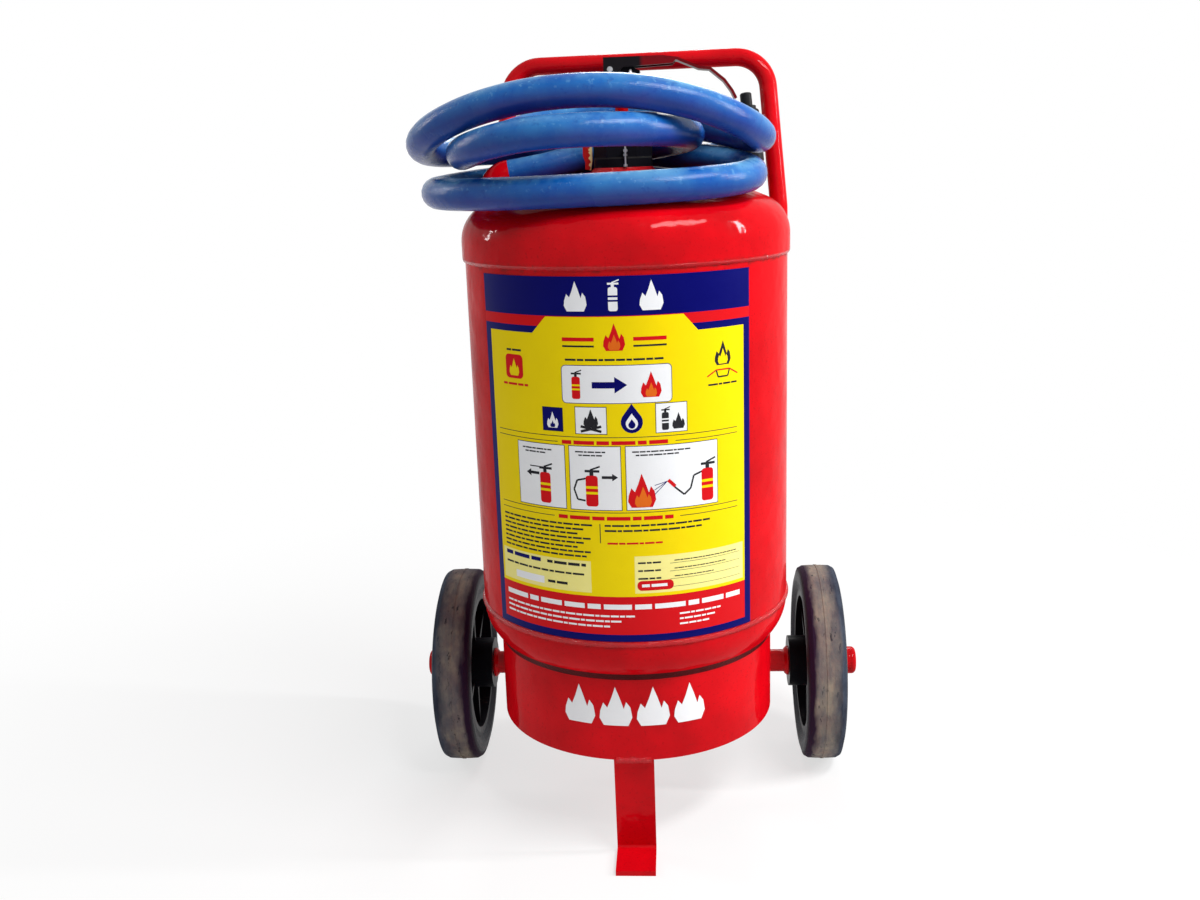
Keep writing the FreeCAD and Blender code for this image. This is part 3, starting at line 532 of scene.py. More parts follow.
@dataclass(frozen=True)
class HoseVinyl(Finish):
    """Glossy blue vinyl, mottled paler and darker, with painted shade on the undersides and a painted
    highlight with painted glint specks on the tops.
    """

    pale: Colour = (0.040, 0.225, 0.50)
    # colour of the painted highlight on the tops of the turns
    painted_highlight: Colour = (0.20, 0.46, 0.68)
    deep: Colour = (0.004, 0.030, 0.22)
    violet: Colour = (0.070, 0.028, 0.22)
    pale_clouds: Pattern = (22.0, 0.75)
    deep_clouds: Pattern = (12.0, 0.55)
    violet_clouds: Pattern = (16.0, 0.38)
    # painted glint specks on the tops of the turns
    glint_specks: Pattern = (170.0, 0.28)
    dark_specks: Pattern = (120.0, 0.30)
    shift: Place = (3.1, 1.7, 0.4)    # keeps dark specks off the painted glint specks
    grain: float = 640.0

    def build(self) -> bpy.types.Material:
        """Make the vinyl.

        Returns:
            The material.
        """
        material, g, shader = self.start()
        point = g.object_point()
        pale = Effect.CLOUDS.place(g, point, self.pale_clouds)
        deep = Effect.CLOUDS.place(g, point, self.deep_clouds)
        violet = Effect.CLOUDS.place(g, point, self.violet_clouds)
        moved = g.node("ShaderNodeVectorMath", operation="ADD")
        g.feed(moved.inputs[0], point)
        g.feed(moved.inputs[1], self.shift)
        elsewhere = moved.outputs[0]
        colour = g.mix(pale, self.colour, self.pale)
        colour = g.mix(g.times(deep, 0.6), colour, self.deep)
        spots = g.span(g.noise(elsewhere, 17.0, 3.0), 0.55, 0.75)
        colour = g.mix(g.times(spots, violet), colour, self.violet)
        level = g.parts(g.node("ShaderNodeNewGeometry").outputs["Normal"])[2]
        # painted shade: faces that point down are mixed towards a dark violet-blue, as if in shadow
        under = g.span(level, 0.42, -0.40)
        painted_shade_tone = g.mix(violet, self.deep, self.violet)
        colour = g.mix(g.times(under, 0.85), colour, painted_shade_tone)
        # painted highlight: faces that point up are mixed towards pale cyan, and painted glint specks are
        # scattered over them
        painted_highlight = g.times(g.span(level, 0.45, 0.95), pale)
        colour = g.mix(g.times(painted_highlight, 0.8), colour, self.painted_highlight)
        glint_speck = Effect.SPECKS.place(g, point, self.glint_specks)
        colour = g.mix(g.times(glint_speck, g.span(level, -0.1, 0.6)), colour, self.painted_highlight)
        dark = Effect.SPECKS.place(g, elsewhere, self.dark_specks)
        colour = g.mix(dark, colour, self.deep)
        height = g.plus(g.times(g.noise(point, self.grain, 3.0, 0.8), 0.25), g.noise(point, 45.0, 2.0))
        normal = g.bump(height, 0.34, 0.0024)
        g.fill(shader, {"Base Color": colour, "Normal": normal, "Coat Normal": normal,
                        "Roughness": g.span(pale, 0.0, 1.0, self.roughness, self.roughness + 0.16)})
        return material


@dataclass(frozen=True)
class Ink(Finish):
    """Printed film with slight fading, soft wrinkles and worn specks."""

    faded: Colour = (0.9, 0.9, 0.9)
    fading: Pattern = (30.0, 0.16)
    wear: Pattern = (900.0, 0.30)

    def build(self) -> bpy.types.Material:
        """Make the printed film.

        Returns:
            The material.
        """
        material, g, shader = self.start()
        point = g.object_point()
        clouds = Effect.CLOUDS.place(g, point, self.fading)
        specks = Effect.SPECKS.place(g, point, self.wear)
        colour = g.mix(clouds, self.colour, self.faded)
        g.fill(shader, {"Base Color": g.mix(specks, colour, self.faded),
                        "Roughness": g.plus(g.times(clouds, 0.6), self.roughness),
                        "Normal": g.bump(g.noise(point, 60.0, 3.0), 0.10, 0.0012)})
        return material


ENAMEL_RED = Enamel("enamel_red", (0.64, 0.0015, 0.0065), 0.20, 0.004, 0.16, darkened_z=(0.2236, 0.5538))
ENAMEL_SEAM = Enamel("enamel_red_weld", (0.58, 0.0015, 0.0065), 0.20, 0.02, 0.55, peel=0.3, ripple=1.0)
# painted shadow: the weld between the bottom head and the foot ring is near-black red, standing in for
# the dark shadow gap under the head
SHADOW_SEAM = Enamel("shadow_dark_red_weld", (0.085, 0.002, 0.004), 0.35, shade=(0.02, 0.001, 0.002),
                    ripple=0.5)
LEVER = LeverPaint("enamel_dark_red", (0.20, 0.006, 0.010), 0.30, shade=(0.09, 0.004, 0.006))
ENAMEL_BLACK = Enamel("enamel_black", (0.005, 0.005, 0.007), 0.30, 0.03, shade=(0.011, 0.011, 0.016),
                      knock=(0.10, 0.09, 0.08))
STEEL = Steel("drawn_steel", (0.55, 0.55, 0.56), 0.28)
ALUMINIUM = Steel("pressed_aluminium", (0.34, 0.35, 0.37), 0.34, stain=(0.12, 0.12, 0.13))
PLASTIC_BLACK = Moulded("moulded_black", (0.010, 0.010, 0.011), 0.30, rubbed=(0.035, 0.035, 0.038))
PLASTIC_BUSH = Moulded("turned_nylon", (0.62, 0.60, 0.54), 0.45, rubbed=(0.40, 0.38, 0.34))
RUBBER = Moulded("cut_rubber", (0.02, 0.02, 0.02), 0.6, rubbed=(0.05, 0.05, 0.05))
TAG_RED = TornTag("torn_tag", (0.42, 0.012, 0.012), 0.35)
POWDER = Moulded("settled_powder", (0.78, 0.79, 0.84), 0.95, rubbed=(0.62, 0.63, 0.70),
                 grain=300.0, depth=0.8)
TYRE = TyreRubber("worn_tyre", (0.013, 0.014, 0.018), 0.42)
VINYL = HoseVinyl("hose_vinyl", (0.003, 0.105, 0.41), 0.20, 0.05, 0.30, 0.16)
INK_BLUE = Ink("ink_blue", (0.0008, 0.0012, 0.110), 0.30, faded=(0.004, 0.006, 0.16))
INK_YELLOW = Ink("ink_yellow", (0.86, 0.66, 0.002), 0.32, faded=(0.74, 0.54, 0.004))
INK_PALE = Ink("ink_pale_yellow", (0.88, 0.80, 0.26), 0.35, faded=(0.92, 0.86, 0.45))
INK_RED = Ink("ink_red", (0.62, 0.006, 0.010), 0.30, faded=(0.50, 0.012, 0.016))
INK_WHITE = Ink("ink_white", (0.84, 0.85, 0.87), 0.35, faded=(0.70, 0.72, 0.76))
INK_BLACK = Ink("ink_black", (0.015, 0.015, 0.02), 0.35, faded=(0.08, 0.08, 0.08))
INK_ORANGE = Ink("ink_orange", (0.72, 0.13, 0.01), 0.35, faded=(0.80, 0.25, 0.03))


def dress(node: str, finish: Finish) -> None:
    """Give a node of the frame its finish.

    Args:
        node: the node's name.
        finish: what its surface is like.
    """
    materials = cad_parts[node].data.materials
    materials.clear()
    materials.append(finish.material())
    LOG.info("dressed %s with %s", node, finish.name)


def place_object(name: str, data: bpy.types.ID) -> bpy.types.Object:
    """Put an object into the scene.

    Args:
        name: the object's name.
        data: its mesh, curve, lamp or camera.

    Returns:
        The new object.
    """
    made = bpy.data.objects.new(name, data)
    bpy.context.scene.collection.objects.link(made)
    return made


def mesh_object(name: str, mesh: bmesh.types.BMesh) -> bpy.types.Object:
    """Turn a finished bmesh into an object and free it.

    Args:
        name: the object's name.
        mesh: the shape, in place.

    Returns:
        The new object.
    """
    data = bpy.data.meshes.new(name)
    mesh.to_mesh(data)
    mesh.free()
    return place_object(name, data)


def keep(mesh: bmesh.types.BMesh, name: str, finishes: list[Finish], body: str) -> bpy.types.Object:
    """Turn a finished bmesh into a piece of the object.

    Args:
        mesh: the shape, in place.
        name: the piece's name.
        finishes: one for each material index.
        body: the body that it rides on.

    Returns:
        The new object.
    """
    piece = mesh_object(name, mesh)
    for finish in finishes:
        piece.data.materials.append(finish.material())
    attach(piece, body)
    LOG.info("made %s, %d faces", name, len(piece.data.polygons))
    return piece


FLAME = ((-0.30, 0.0), (0.30, 0.0), (0.40, 0.22), (0.36, 0.48), (0.26, 0.62), (0.20, 0.44), (0.10, 0.74),
         (0.0, 1.0), (-0.10, 0.70), (-0.20, 0.46), (-0.30, 0.58), (-0.38, 0.36), (-0.40, 0.18))


@dataclass
class Film:
    """Thin printed film bent round a cylinder of the object.

    Flat places and lengths are millimetres from the film's lower left corner, before it is bent.
    A layer says how many films a print lies above the surface.
    """

    from_deg: float
    low_z: float
    surface_r: float
    film: float = 0.00004     # thickness of one layer
    strip: float = 5.0        # widest flat stretch round the cylinder
    border: float = 0.6
    corner_steps: int = 5
    word_lengths: tuple[float, ...] = (4.2, 2.6, 5.4, 3.2, 6.0, 2.2, 4.8)
    inks: tuple[Ink, ...] = (INK_BLUE, INK_YELLOW, INK_PALE, INK_RED, INK_WHITE, INK_BLACK, INK_ORANGE)
    mesh: bmesh.types.BMesh = field(default_factory=bmesh.new)

    def shape(self, outline: list[Flat], ink: Ink, layer: int) -> None:
        """Print one flat shape.

        Args:
            outline: its corners, anticlockwise.
            ink: what it is printed with.
            layer: its layer.
        """
        flat = bmesh.new()
        flat.faces.new([flat.verts.new((u, v, 0.0)) for u, v in outline])
        low = min(u for u, v in outline)
        high = max(u for u, v in outline)
        place = math.floor(low / self.strip) * self.strip + self.strip
        while place < high:
            geometry = flat.verts[:] + flat.edges[:] + flat.faces[:]
            bmesh.ops.bisect_plane(flat, geom=geometry, plane_co=(place, 0, 0), plane_no=(1, 0, 0))
            place += self.strip
        radius = self.surface_r + self.film * (layer + 1)
        for vert in flat.verts:
            angle = math.radians(self.from_deg) + vert.co.x / MM_PER_M / self.surface_r
            vert.co = Vector((radius * math.sin(angle), VESSEL_Y - radius * math.cos(angle),
                              self.low_z + vert.co.y / MM_PER_M))
        index = self.inks.index(ink)
        made = {v: self.mesh.verts.new(v.co) for v in flat.verts}
        for face in flat.faces:
            new = self.mesh.faces.new([made[v] for v in face.verts])
            new.material_index = index
            new.smooth = True
        flat.free()

    def box(self, u: float, v: float, wide: float, high: float, ink: Ink, layer: int,
            corner: float = 0.0) -> None:
        """Print a rectangle.

        Args:
            u: left edge.
            v: lower edge.
            wide: width.
            high: height.
            ink: what it is printed with.
            layer: its layer.
            corner: radius of its corners.
        """
        if corner <= 0:
            self.shape([(u, v), (u + wide, v), (u + wide, v + high), (u, v + high)], ink, layer)
            return
        outline = []
        centres = ((u + wide - corner, v + corner, -90), (u + wide - corner, v + high - corner, 0),
                   (u + corner, v + high - corner, 90), (u + corner, v + corner, 180))
        for cu, cv, start in centres:
            for step in range(self.corner_steps + 1):
                angle = math.radians(start + 90 / self.corner_steps * step)
                outline.append((cu + corner * math.cos(angle), cv + corner * math.sin(angle)))
        self.shape(outline, ink, layer)

    def framed(self, u: float, v: float, wide: float, high: float, ink: Ink, edge: Ink,
               layer: int, corner: float = 0.0) -> None:
        """Print a rectangle with a thin border.

        Args:
            u: left edge.
            v: lower edge.
            wide: width.
            high: height.
            ink: what it is printed with.
            edge: what its border is printed with.
            layer: layer of the border, under the rectangle's own.
            corner: radius of its corners.
        """
        line = self.border
        self.box(u, v, wide, high, edge, layer, corner)
        self.box(u + line, v + line, wide - 2 * line, high - 2 * line, ink, layer + 1,
                 max(corner - line, 0.0))

    def stroke(self, points: list[Flat], thick: float, ink: Ink, layer: int) -> None:
        """Print a line of even thickness.

        Args:
            points: where it runs.
            thick: its thickness.
            ink: what it is printed with.
            layer: its layer.
        """
        for (u0, v0), (u1, v1) in zip(points, points[1:]):
            long = math.hypot(u1 - u0, v1 - v0)
            du, dv = (v1 - v0) / long * thick / 2, (u0 - u1) / long * thick / 2
            self.shape([(u0 + du, v0 + dv), (u1 + du, v1 + dv), (u1 - du, v1 - dv), (u0 - du, v0 - dv)],
                       ink, layer)

    def bars(self, u: float, v: float, long: float, high: float, ink: Ink, layer: int,
             first: int = 0) -> None:
        """Print a row of plain bars of uneven length, in place of a line of text.

        Args:
            u: left end.
            v: lower edge.
            long: length of the row.
            high: height of the bars.
            ink: what they are printed with.
            layer: their layer.
            first: which length the row starts with.
        """
        place = u
        index = first
        while place < u + long - high:
            wide = min(self.word_lengths[index % len(self.word_lengths)] * high, u + long - place)
            self.box(place, v, wide, high, ink, layer)
            place += wide + high * 0.6
            index += 1

    def flame(self, u: float, v: float, high: float, ink: Ink, layer: int) -> None:
        """Print a plain three-tongued flame that stands on (u, v)."""
        self.shape([(u + x * high, v + y * high) for x, y in FLAME], ink, layer)

    def drop(self, u: float, v: float, radius: float, ink: Ink, layer: int) -> None:
        """Print a drop that stands on (u, v)."""
        turns = [math.radians(degrees) for degrees in range(150, 391, 20)]
        outline = [(u + radius * math.cos(a), v + radius + radius * math.sin(a)) for a in turns]
        self.shape(outline + [(u, v + radius * 2.7)], ink, layer)

    def bottle(self, u: float, v: float, high: float, layer: int, body: Ink = INK_RED,
               band: Ink = INK_YELLOW, valve: Ink = INK_BLACK) -> None:
        """Print a small plain extinguisher.

        Args:
            u: middle of its foot.
            v: height of its foot.
            high: its height.
            layer: its layer.
            body: what its body is printed with.
            band: what its two bands are printed with.
            valve: what its valve and lever are printed with.
        """
        wide = high * 0.30
        self.box(u - wide / 2, v, wide, high * 0.76, body, layer, wide * 0.24)
        for height in (0.30, 0.44):
            self.box(u - wide / 2, v + high * height, wide, high * 0.06, band, layer + 1)
        self.box(u - wide * 0.16, v + high * 0.76, wide * 0.32, high * 0.1, valve, layer)
        self.box(u - wide * 0.55, v + high * 0.84, wide * 1.2, high * 0.06, valve, layer)
        self.stroke([(u - wide * 0.1, v + high * 0.9), (u + wide * 0.7, v + high * 0.99)], high * 0.04,
                    valve, layer)

    def arrow(self, u: float, v: float, long: float, ink: Ink, layer: int) -> None:
        """Print an arrow.

        Args:
            u: its tail.
            v: height of its middle.
            long: its length, negative where it points left.
            ink: what it is printed with.
            layer: its layer.
        """
        half = abs(long) * 0.09
        neck = u + long * 0.64
        outline = [(u, v - half), (neck, v - half), (neck, v - half * 2.6), (u + long, v),
                   (neck, v + half * 2.6), (neck, v + half), (u, v + half)]
        self.shape(outline if long > 0 else outline[::-1], ink, layer)

    def finish(self, name: str) -> None:
        """Turn the print outwards and keep it.

        Args:
            name: name of the piece.
        """
        for face in self.mesh.faces:
            side = face.calc_center_median() - Vector((0, VESSEL_Y, 0))
            side.z = 0
            if face.normal.dot(side) < 0:
                face.normal_flip()
        keep(self.mesh, name, list(self.inks), "vessel")


@dataclass
class Label(Film):
    """Printed label on the front of the vessel: panels and plain pictures, no words."""

    from_deg: float = -53.5
    low_z: float = 0.2272
    surface_r: float = VESSEL_R + 0.00055
    wide: float = 261.8
    high: float = 320.8
    middle: float = 135.0

    def panels(self) -> None:
        """Print the large colour areas."""
        wide = self.wide
        head_low = 288.0
        body_high = 279.0
        left, right = 8.0, 254.5
        foot_low, low, high, tab_high = 6.5, 42.0, 273.0, 287.4
        tab_left, tab_right = (61, 75), (194, 207)
        self.box(0, head_low, wide, self.high - head_low, INK_BLUE, 0)
        self.box(0, body_high, wide, head_low - body_high, INK_RED, 0)
        self.box(0, 0, wide, body_high, INK_BLUE, 0)
        self.box(left, foot_low, right - left, low - foot_low, INK_RED, 1)
        self.shape([(left, low), (right, low), (right, high), (tab_right[1], high),
                    (tab_right[0], tab_high), (tab_left[1], tab_high), (tab_left[0], high), (left, high)],
                   INK_YELLOW, 2)

    def heading(self) -> None:
        """Print the signs in the blue head and round the middle box."""
        middle = self.middle
        head_v, name_v, box_v = 292, 259, 214
        apart = 32
        for place in (middle - apart, middle + apart):
            self.flame(place, head_v, 25, INK_WHITE, 1)
        self.bottle(middle, head_v, 26, 1, INK_WHITE, INK_BLUE, INK_WHITE)
        self.flame(middle, name_v, 23, INK_RED, 3)
        self.flame(middle, name_v + 0.6, 13, INK_ORANGE, 4)
        for place in (90, middle + 16):
            self.box(place, name_v + 3, 28, 1.6, INK_BLACK, 3)
            self.box(place, name_v + 8, 28, 3.2, INK_RED, 3)
        self.bars(92, name_v - 8.5, 84, 1.8, INK_BLACK, 3, 2)
        self.framed(88, box_v, 95, 33, INK_WHITE, INK_BLUE, 3, 4.0)
        self.bottle(middle - 34, box_v + 4, 25, 5)
        self.arrow(middle - 20, box_v + 16, 30, INK_BLUE, 5)
        self.flame(middle + 30, box_v + 5, 22, INK_RED, 5)
        self.flame(middle + 30, box_v + 5.5, 12, INK_ORANGE, 6)

    def corners(self) -> None:
        """Print the two small signs beside the middle box."""
        left, right, low = 38.5, 231, 232
        self.box(left - 10.5, low, 21, 21, INK_RED, 3, 4.0)
        self.flame(left, low + 2.5, 15, INK_YELLOW, 4)
        self.bars(left - 14.5, low - 6, 30, 2.0, INK_RED, 3, 1)
        self.bars(left - 8.5, low + 24, 18, 1.8, INK_BLACK, 3, 3)
        self.flame(right, low + 9, 21, INK_BLACK, 3)
        self.flame(right, low + 10, 13, INK_YELLOW, 4)
        rim_left, rim_right, rim = right - 7, right + 7, low + 5
        self.stroke([(right - 16, low), (rim_left, rim), (rim_right, rim), (right + 16, low)], 1.2,
                    INK_RED, 3)
        self.stroke([(rim_left, rim), (right - 5, low - 1), (right + 5, low - 1), (rim_right, rim)], 1.4,
                    INK_BLACK, 3)
        self.bars(right - 15, low - 8, 30, 1.6, INK_BLACK, 3, 4)

    def tiles(self) -> None:
        """Print the row of four small tiles."""
        low = 187.5
        first, second, third, fourth = 78, 113, 148, 182
        self.framed(first - 10, low + 1.5, 20, 21, INK_BLUE, INK_BLACK, 3)
        self.flame(first, low + 4.5, 14, INK_WHITE, 5)
        self.flame(first, low + 5, 6, INK_BLUE, 6)
        self.framed(second - 14, low, 28, 24, INK_WHITE, INK_BLACK, 3)
        self.flame(second, low + 6, 16, INK_BLACK, 5)
        self.stroke([(second - 9, low + 2.5), (second + 9, low + 7)], 2.2, INK_BLACK, 5)
        self.stroke([(second - 9, low + 7), (second + 9, low + 2.5)], 2.2, INK_BLACK, 6)
        drops = ((1, 9.4, INK_BLUE, 3), (4, 5.2, INK_WHITE, 4), (5, 3.0, INK_BLUE, 5))
        for rise, radius, ink, layer in drops:
            self.drop(third, low + rise, radius, ink, layer)
        self.framed(fourth - 14, low, 28, 26, INK_WHITE, INK_BLACK, 3)
        self.bottle(fourth - 5.5, low + 2.5, 20, 5, INK_BLACK, INK_WHITE)
        self.flame(fourth + 6, low + 3, 14, INK_BLACK, 5)

    def rules(self) -> None:
        """Print the double rules and the bars between them."""
        left, right, thick = 14, 246, 0.6
        for upper, lower, low_u, high_u in ((184.6, 179.8, 82, 185), (118.2, 113.0, 76, 188)):
            self.box(left, upper, right - left, thick, INK_BLACK, 3)
            self.box(left, lower, low_u - left, thick, INK_BLACK, 3)
            self.box(high_u, lower, right - high_u, thick, INK_BLACK, 3)
            self.bars(low_u + 4, lower - 1.4, high_u - low_u - 10, 3.4, INK_RED, 3, 1)

    def pictures(self) -> None:
        """Print the three pictures of an extinguisher in use, without the user."""
        ground, words_v = 124, 171.5
        for u, wide in ((38.5, 50), (92, 46), (141.5, 83)):
            self.framed(u, ground - 3.6, wide, 57, INK_WHITE, INK_BLACK, 4)
            self.bars(u + 6, words_v, wide * 0.62, 1.2, INK_BLACK, 6, int(wide))
            self.bars(u + 9, words_v - 3, wide * 0.45, 1.2, INK_BLACK, 6, int(u))
        self.bottle(68, ground, 36, 6)
        self.stroke([(52, 156), (62, 156)], 1.0, INK_BLACK, 6)
        self.arrow(62, 150, -14, INK_BLACK, 6)
        self.bottle(112, ground, 36, 6)
        self.stroke([(108, 149), (99, 147), (96, 139), (99, 130), (106, 129)], 1.6, INK_BLACK, 6)
        self.arrow(121, 150, 14, INK_BLACK, 6)
        self.flame(155, ground - 1, 30, INK_RED, 6)
        self.flame(156, ground - 0.5, 18, INK_ORANGE, 7)
        self.bottle(214, ground, 38, 6)
        self.stroke([(210, 151), (201, 148), (198, 137), (192, 132), (184, 139), (180, 144)], 1.6,
                    INK_BLACK, 6)
        self.stroke([(184, 140), (178, 146)], 3.0, INK_RED, 7)
        for fall in (134, 138, 142):
            self.stroke([(177, 145), (166, fall)], 0.6, INK_BLUE, 6)

    def tables(self) -> None:
        """Print the rows of bars and the pale boxes under the pictures."""
        top_v, line_high, pitch = 106, 1.7, 4.1
        for row in range(8):
            self.bars(15, top_v - row * pitch, 96 - (row % 3) * 6, line_high, INK_BLACK, 3, row)
        self.box(117.5, 91, 0.8, 17.5, INK_BLACK, 3)
        for row, long in enumerate((94, 86)):
            self.bars(122, top_v - row * (pitch + 0.5), long, line_high, INK_BLACK, 3, row + 3)
        self.bars(124, 90, 48, line_high, INK_RED, 3, 2)
        pale_v = 45
        self.box(10.5, pale_v, 98, 29, INK_PALE, 3)
        self.bars(15, 68.4, 44, 3.6, INK_BLUE, 4, 1)
        self.bars(66, 68.8, 38, 2.6, INK_BLACK, 4, 5)
        self.bars(15, 60.5, 88, 1.8, INK_BLACK, 4, 2)
        self.box(28, 48.6, 34, 6.6, INK_WHITE, 4)
        self.bars(66, 50.4, 20, 2.4, INK_BLACK, 4, 3)
        self.box(147, pale_v, 105, 34, INK_PALE, 3)
        first_v, row_v = 72, 7.2
        for row in range(3):
            self.bars(150, first_v - row * row_v, 20, 1.6, INK_BLACK, 4, row)
            self.bars(182, first_v + 1 - row * row_v, 62 - row * 12, 0.9, INK_BLACK, 4, row + 2)
        for row in range(4):
            self.box(178, first_v - 1 - row * row_v, 70, 0.35, INK_BLACK, 4)
        self.box(149, 47.4, 32, 9.0, INK_RED, 4, 4.0)
        self.bars(153, 50.6, 24, 2.6, INK_WHITE, 5, 1)

    def foot(self) -> None:
        """Print the white bars on the red foot of the label."""
        left, first_v, pitch = 14, 23, 4.8
        self.bars(left, 30.2, 234, 4.6, INK_WHITE, 3, 4)
        for row in range(3):
            self.bars(left, first_v - row * pitch, 132 - row * 10, 1.7, INK_WHITE, 3, row * 2)
            self.bars(186, first_v - row * pitch, 40 - row * 6, 1.6, INK_WHITE, 3, row + 4)

    def build(self) -> None:
        """Print the label and dress the sheet under it."""
        for part in (self.panels, self.heading, self.corners, self.tiles, self.rules, self.pictures,
                     self.tables, self.foot):
            part()
        self.finish("label_print")
        dress("label_sheet", INK_BLUE)


@dataclass
class RingSigns(Film):
    """Row of plain white flames on the front of the foot ring."""

    from_deg: float = -28.5
    low_z: float = 0.1385
    surface_r: float = 0.1345 + 0.00030
    count: int = 4
    pitch: float = 34.5
    high: float = 38.0

    def build(self) -> None:
        """Print the flames."""
        for number in range(self.count):
            self.flame(self.pitch * (number + 0.5), 0.0, self.high, INK_WHITE, 0)
        self.finish("ring_signs")


@dataclass
class Vessel:
    """Pressure vessel with its heads, seams, label and charge."""

    painted: tuple[str, ...] = ("vessel_cylinder", "top_head", "bottom_head", "outlet_boss",
                                "outlet_elbow")
    welded: tuple[str, ...] = ("top_seam", "bottom_seam", "neck_seam")

    def build(self) -> None:
        """Dress the vessel."""
        for node in self.painted:
            dress(node, ENAMEL_RED)
        for node in self.welded:
            dress(node, ENAMEL_SEAM)
        dress("powder_charge", POWDER)
        dress("siphon_tube", STEEL)
        dress("gas_cartridge", STEEL)
        Label().build()


@dataclass
class Undercarriage:
    """Foot ring, front foot, axle and wheels."""

    painted: tuple[str, ...] = ("foot_ring", "foot_strip", "axle", "axle_collars", "axle_caps")

    def build(self) -> None:
        """Dress the ring, the foot, the axle and both wheels."""
        for node in self.painted:
            dress(node, ENAMEL_RED)
        dress("foot_seam", ENAMEL_SEAM)
        # painted shadow: this weld is dressed near-black for the shadow gap under the bottom head
        dress("foot_ring_seam", SHADOW_SEAM)
        RingSigns().build()
        dress("axle_washers", STEEL)
        for side in ("left", "right"):
            dress(side + "_tyre", TYRE)
            dress(side + "_hub", ENAMEL_BLACK)
            dress(side + "_bush", PLASTIC_BUSH)


@dataclass
class PushHandle:
    """Bent tube frame and the pads that weld it to the vessel."""

    def build(self) -> None:
        """Dress the frame and its pads."""
        dress("handle_frame", ENAMEL_RED)
        dress("handle_pads", ENAMEL_SEAM)


@dataclass
class ReturnSpring:
    """Coil spring under the plunger's flange, which the squeezed lever presses together."""

    turns: int = 5
    wire_r: float = 0.00062
    wire_sides: int = 10
    steps_per_turn: int = 24
    pressed: float = 0.70     # share of its length that is left when the lever is down

    def build(self) -> None:
        """Wind the spring in the place of its plain sleeve."""
        low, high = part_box("return_spring")
        centre = (low + high) / 2
        mean_r = (high.x - low.x) / 2 - self.wire_r
        steps = self.turns * self.steps_per_turn
        rise = (high.z - low.z - 2 * self.wire_r) / steps
        start = Matrix.Translation((centre.x + mean_r, centre.y, low.z + self.wire_r))
        mesh = bmesh.new()
        section = bmesh.ops.create_circle(mesh, cap_ends=False, segments=self.wire_sides,
                                          radius=self.wire_r,
                                          matrix=start @ Matrix.Rotation(math.pi / 2, 4, "X"))
        bmesh.ops.spin(mesh, geom=section["verts"] + mesh.edges[:], cent=centre, axis=(0, 0, 1),
                       dvec=(0, 0, rise), angle=2 * math.pi * self.turns, steps=steps)
        bmesh.ops.holes_fill(mesh, edges=[edge for edge in mesh.edges if edge.is_boundary])
        bmesh.ops.recalc_face_normals(mesh, faces=mesh.faces[:])
        coil = keep(mesh, "return_spring_coil", [STEEL], "vessel")
        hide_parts("return_spring")
        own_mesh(coil)


@dataclass
class OperatingHead:
    """Neck cap with the squeeze lever, the plunger and the safety pin."""

    # painted shade: the neck ring is red enamel like the vessel, but is dressed black because it lies in
    # the shadow under the hose
    black: tuple[str, ...] = ("neck_ring", "head_cap", "piercing_chamber", "pivot_block", "carry_grip")
    steel: tuple[str, ...] = ("plunger", "lever_pin", "safety_pin", "pull_ring", "relief_valve",
                              "seal_wire")

    def build(self) -> None:
        """Dress the head."""
        for node in self.black:
            dress(node, ENAMEL_BLACK)
        for node in self.steel:
            dress(node, STEEL)
        dress("guide_tube", ENAMEL_RED)
        dress("operating_lever", LEVER)
        dress("neck_gasket", RUBBER)
        dress("seal_tag", TAG_RED)
        ReturnSpring().build()


class Heading(Enum):
    """Side of the coil on which a station lies, seen from above."""

    REAR = "rear"
    RIGHT = "right"
    FRONT = "front"
    LEFT = "left"


